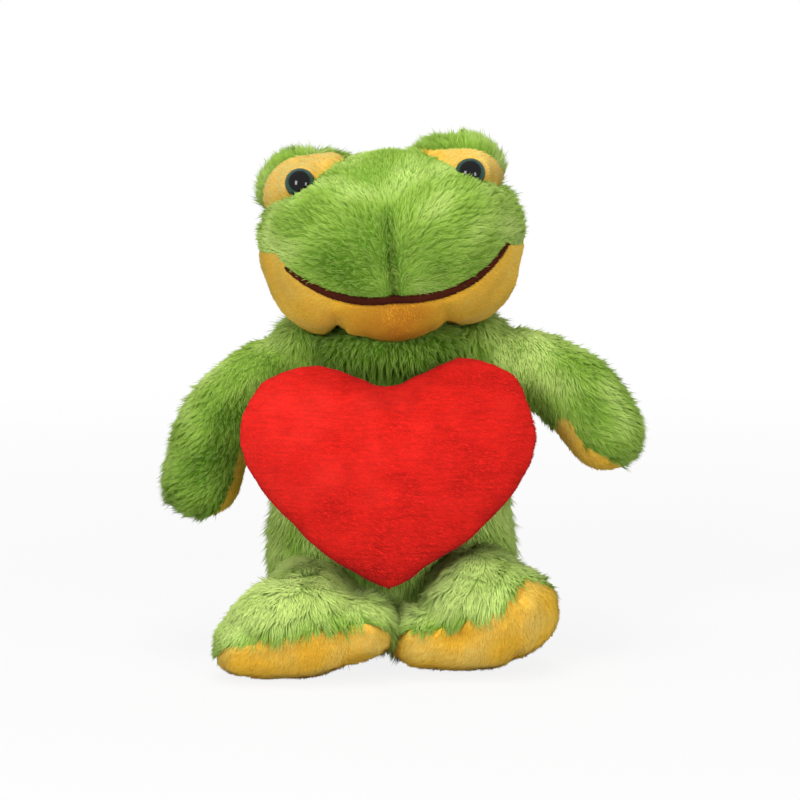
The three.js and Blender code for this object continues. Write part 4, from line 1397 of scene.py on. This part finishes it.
def stuff(piece, cap):
    """Blows a closed skin up with air pressure. No point moves further than the cap in millimetres."""
    scene = bpy.context.scene
    before = positions(piece)
    cloth = piece.modifiers.new("stuffing", "CLOTH")
    cloth.settings.use_pressure = True
    cloth.settings.uniform_pressure_force = STUFFING_PRESSURE
    cloth.settings.effector_weights.gravity = 0
    cloth.settings.quality = STUFFING_QUALITY
    cloth.point_cache.frame_start = 1
    cloth.point_cache.frame_end = STUFFING_FRAMES
    for frame_number in range(1, STUFFING_FRAMES + 1):
        scene.frame_set(frame_number)
    make_real(piece)
    scene.frame_set(1)
    moved = positions(piece) - before
    length = np.linalg.norm(moved, axis=1, keepdims=True)
    place_all(piece, before + moved * np.minimum(1, cap * MM / np.maximum(length, 1e-9)))
    print(piece.name, "stuffed, moved at most", round(float(length.max()) / MM, 1), "mm before the cap")


# %% [markdown]
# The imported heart's panels and filling are copied, merged and stood upright, because the real one leans
# back on the chest. Turned back at the end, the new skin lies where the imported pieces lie.

# %% Heart
HEART_VOXEL = 3.0
HEART_LEAN = math.radians(-13)
HEART_THINNER = 0.86
HEART_CAP = 5
HEART_EASING = 5
HEART_SPAN = (-67.6, 65.2)
HEART_RISE = (39.9, 137.6)
HEART_THICKNESS = 34
HEART_ROUNDS = 20

heart_front = Vector(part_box("heart_front_panel")[0])
heart_back = Vector(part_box("heart_back_panel")[1])
heart_centre = (heart_front + heart_back) / 2
heart_centre.x = 0
heart_lean = Matrix.Translation(heart_centre) @ Matrix.Rotation(HEART_LEAN, 4, "X")
shape = bmesh.new()
for node in ("heart_front_panel", "heart_back_panel", "heart_stuffing"):
    shape.from_mesh(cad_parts[node].data)
bmesh.ops.remove_doubles(shape, verts=shape.verts, dist=1e-5)
bmesh.ops.transform(shape, matrix=heart_lean.inverted(), verts=shape.verts)
bmesh.ops.scale(shape, vec=(1, HEART_THINNER, 1), verts=shape.verts)
heart = skin("heart_minky", shape, HEART_VOXEL, HEART_ROUNDS, lump=0.5)
stuff(heart, HEART_CAP)
with reshaping(heart) as surface:
    ease(surface, HEART_EASING)
finer = heart.modifiers.new("finer", "SUBSURF")
finer.levels = finer.render_levels = 1
make_real(heart)

# %% [markdown]
# The heart's outline is then set by its real width and height, with the lobe on its left side raised,
# because the toy carries it a little askew. Its lower sides are filled out, its cleft is filled up, and
# the seam round its rim stays as a shallow groove. Heights are from the heart's middle, as it lies.

# %% Set the heart's outline
LOBE_LIFT = 3.6
LOBE_EDGES = (2, 34)
LIFT_EDGES = (-10, 40)
CLEFT_FILL = 5.2
CLEFT_WIDTH = 12.5
FULL_SIDES = 0.085
FULL_PLACE = (-33, 9.5)
SLIM_LOBE = 0.04
LOBE_PLACE = (30, 10)
SLIM_TIP = 0.17
TIP_PLACE = (-37.6, 6)
RIM_GROOVE = 1.2
RIM_WIDTH = 1.6
RIM_FACING = 0.8

x, y, z = (positions(heart) / MM).T
rise = [(height - heart_centre.z / MM) / math.cos(HEART_LEAN) for height in HEART_RISE]
x = np.interp(x, (x.min(), x.max()), HEART_SPAN)
y = y * (HEART_THICKNESS / (y.max() - y.min()))
z = np.interp(z, (z.min(), z.max()), rise)
slim = SLIM_LOBE * hump(z, *LOBE_PLACE) + SLIM_TIP * hump(z, *TIP_PLACE)
x = x * (1 + FULL_SIDES * hump(z, *FULL_PLACE) - slim * (x > 0))
lift = LOBE_LIFT * smooth_step(x, *LOBE_EDGES) + CLEFT_FILL * hump(x, 0, CLEFT_WIDTH)
z = z + lift * smooth_step(z, *LIFT_EDGES)
place_all(heart, arrows(x, y, z) * MM)
with reshaping(heart) as surface:
    surface.normal_update()
    for vert in surface.verts:
        at_rim = math.hypot(vert.normal.x, vert.normal.z) > RIM_FACING
        groove = RIM_GROOVE * hump(vert.co.y, 0, RIM_WIDTH * MM) * at_rim
        vert.co -= vert.normal * groove * MM
    bmesh.ops.transform(surface, matrix=heart_lean, verts=surface.verts)
dress(heart, *red_cloth)
for part, word in ((x, "wide"), (y, "thick"), (z, "high")):
    print("the heart's skin is", round(float(part.max() - part.min()), 1), "mm", word)

# %% [markdown]
# The heart's pile is brushed sideways, which leaves the fine level lines of velvet. Its nap paints
# light and shade: the right half, toward the main lamp, paler and the lower part deeper.

# %% Grow the heart's pile
SIDEWAYS = (1, 0, -0.15)


def heart_painted_light(points, normals):
    """Painted light and shade: paler on its right half, toward the main lamp, and deeper low down."""
    x, y, z = points.T
    return 0.42 + 0.003 * x + 0.3 * smooth_step(100 - z, 0, 60)


comb(heart, SIDEWAYS, nap=heart_painted_light, unrest=0.3)
grow(heart, RED_MINKY, seed=400, softness=VELVET_SOFTNESS)
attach(heart, "heart")
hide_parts("heart_front_panel", "heart_back_panel", "heart_stuffing")

# %% [markdown]
# Inside the neck a firm wad of filling carries the head. Only a glimpse of its cloth can show, in the
# gap between head and shoulders, so it gets the same pile, cut short.

# %% Neck
NECK_CENTRE = (0, -1, 147)
NECK_RADII = (31, 25, 12)
shape = bmesh.new()
add_ellipsoid(shape, NECK_CENTRE, NECK_RADII, inset=LIMB_INSET)
neck = skin("neck_plush", shape, voxel=2.2, rounds=2)
dress(neck, *green_cloth)
comb(neck, DOWNWARD, growth=0.6)
grow(neck, STROKED, seed=500)
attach(neck, "neck")
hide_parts("neck_wad")

# %% [markdown]
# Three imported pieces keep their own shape: the washers that lock the eyes behind the cloth and the tack
# that holds the heart. They only need the look of moulded plastic and of wound thread.

# %% Washers and tack
THREAD_THICKNESS = 0.5
THREADS_IN_RIDGE = 6
RIDGE_HEIGHT = 0.2


def wound_thread(name, deep, pale):
    """Twisted polyester thread, wound round and round, which gives fine ridges. Its colour is darker
    in the grooves between them, as painted shade.
    """
    material, tree, shader = new_material(name, 0.6)
    place = add(tree, "ShaderNodeTexCoord").outputs["Object"]
    turns = add(tree, "ShaderNodeTexWave", {
        "Vector": place, "Scale": 1 / (THREADS_IN_RIDGE * THREAD_THICKNESS * MM), "Distortion": 1.0},
        bands_direction="Z")
    # Painted shade: the deep colour lies in the grooves between the ridges.
    colour = add(tree, "ShaderNodeValToRGB", {"Fac": turns.outputs["Fac"]},
                 stops=[(0.1, deep), (0.8, pale)])
    tree.links.new(colour.outputs["Color"], shader.inputs["Base Color"])
    bump = add(tree, "ShaderNodeBump", {"Height": turns.outputs["Fac"], "Strength": 0.6,
                                        "Distance": RIDGE_HEIGHT * MM})
    tree.links.new(bump.outputs[0], shader.inputs["Normal"])
    return material


# Polypropylene comes out of its mould with a satin face.
washer_plastic = moulded("white_moulded_polypropylene", 0.4, 4, deep="#D8D8D2", pale="#E6E6E0")
tack_thread = wound_thread("wound_polyester_thread", deep="#A81812", pale="#D0281E")
for node, material in (("eye_washer_right", washer_plastic), ("eye_washer_left", washer_plastic),
                       ("heart_tack", tack_thread)):
    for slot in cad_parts[node].material_slots:
        slot.material = material
    print(node, "is", material.name)

# %% [markdown]
# The floor is a flat pale sheet that reaches further than the camera sees. It is grey paper that takes
# a soft shadow near the toy and fades to plain white further away, as in a photographer's white room.

# %% Stage
FLOOR_HALF_SIZE = 30.0
FLOOR_GREY = "#CFCFCF"
FLOOR_WHITE_NEAR = 0.86
FADE_START = 0.25
FADE_END = 0.9
WHITE = linear("#FFFFFF")


def backdrop_rays(tree):
    """1 for the rays that show a background: from the camera, off gloss and through glass."""
    rays = add(tree, "ShaderNodeLightPath")
    seen = add(tree, "ShaderNodeMath", {0: rays.outputs["Is Camera Ray"],
                                        1: rays.outputs["Is Glossy Ray"]}, operation="MAXIMUM")
    return add(tree, "ShaderNodeMath", {0: seen, 1: rays.outputs["Is Transmission Ray"]},
               operation="MAXIMUM")


paper, tree, shader = new_material("white_paper", 0.9)
shader.inputs["Base Color"].default_value = linear(FLOOR_GREY)
place = add(tree, "ShaderNodeTexCoord").outputs["Object"]
away = add(tree, "ShaderNodeVectorMath", {0: place}, operation="LENGTH")
whiteness = add(tree, "ShaderNodeMapRange", {"Value": away.outputs["Value"], "From Min": FADE_START,
                                             "From Max": FADE_END, "To Min": FLOOR_WHITE_NEAR,
                                             "To Max": 1.0})
share = add(tree, "ShaderNodeMath", {0: backdrop_rays(tree), 1: whiteness}, operation="MULTIPLY")
white = add(tree, "ShaderNodeEmission", {"Color": WHITE, "Strength": 1.0})
mixed = add(tree, "ShaderNodeMixShader", {0: share, 1: shader, 2: white})
tree.links.new(mixed.outputs[0], tree.nodes["Material Output"].inputs["Surface"])
shape = bmesh.new()
bmesh.ops.create_grid(shape, x_segments=1, y_segments=1, size=FLOOR_HALF_SIZE)
floor = object_from(shape, "floor", paper)
print("floor:", 2 * FLOOR_HALF_SIZE, "m across")

# %% [markdown]
# A product photograph is lit by large soft boxes. The main one stands to the left of the camera, a
# weaker one to the right, and a wide one hangs overhead. The white room around them fills the shadows.
# The eyes mirror the two in front. The one overhead is kept out of them.

# %% Lights
WORLD_LEVEL = 0.42
SOFT_BOXES = {"key_left": ((-0.6, -1.2, 0.65), 0.3, 0.5, 9.5),
              "fill_right": ((0.7, -1.2, 0.45), 0.26, 0.45, 6),
              "top": ((-0.1, -0.3, 1.4), 0.9, 0.9, 13)}

world = bpy.data.worlds.new("studio")
bpy.context.scene.world = world
world.use_nodes = True
background = world.node_tree.nodes["Background"]
level = add(world.node_tree, "ShaderNodeMapRange", {"Value": backdrop_rays(world.node_tree),
                                                    "To Min": WORLD_LEVEL, "To Max": 1.0})
world.node_tree.links.new(level.outputs[0], background.inputs["Strength"])
background.inputs["Color"].default_value = WHITE
for name, (place, width, height, power) in SOFT_BOXES.items():
    box = bpy.data.lights.new(name, "AREA")
    box.shape = "RECTANGLE"
    box.size = width
    box.size_y = height
    box.energy = power
    lamp = in_scene(name, box)
    lamp.location = place
    lamp.rotation_euler = (VIEW_CENTRE - Vector(place)).to_track_quat("-Z", "Y").to_euler()
    lamp.visible_glossy = name != "top"
    print(name, "lamp:", power, "W from", place)

# %% [markdown]
# The loose tufts were only patterns for the scattering, so they go.

# %% Remove the loose tufts and finish
for spike in (green_tuft, green_guard, golden_tuft, red_tuft, brown_tuft):
    bpy.data.objects.remove(spike)
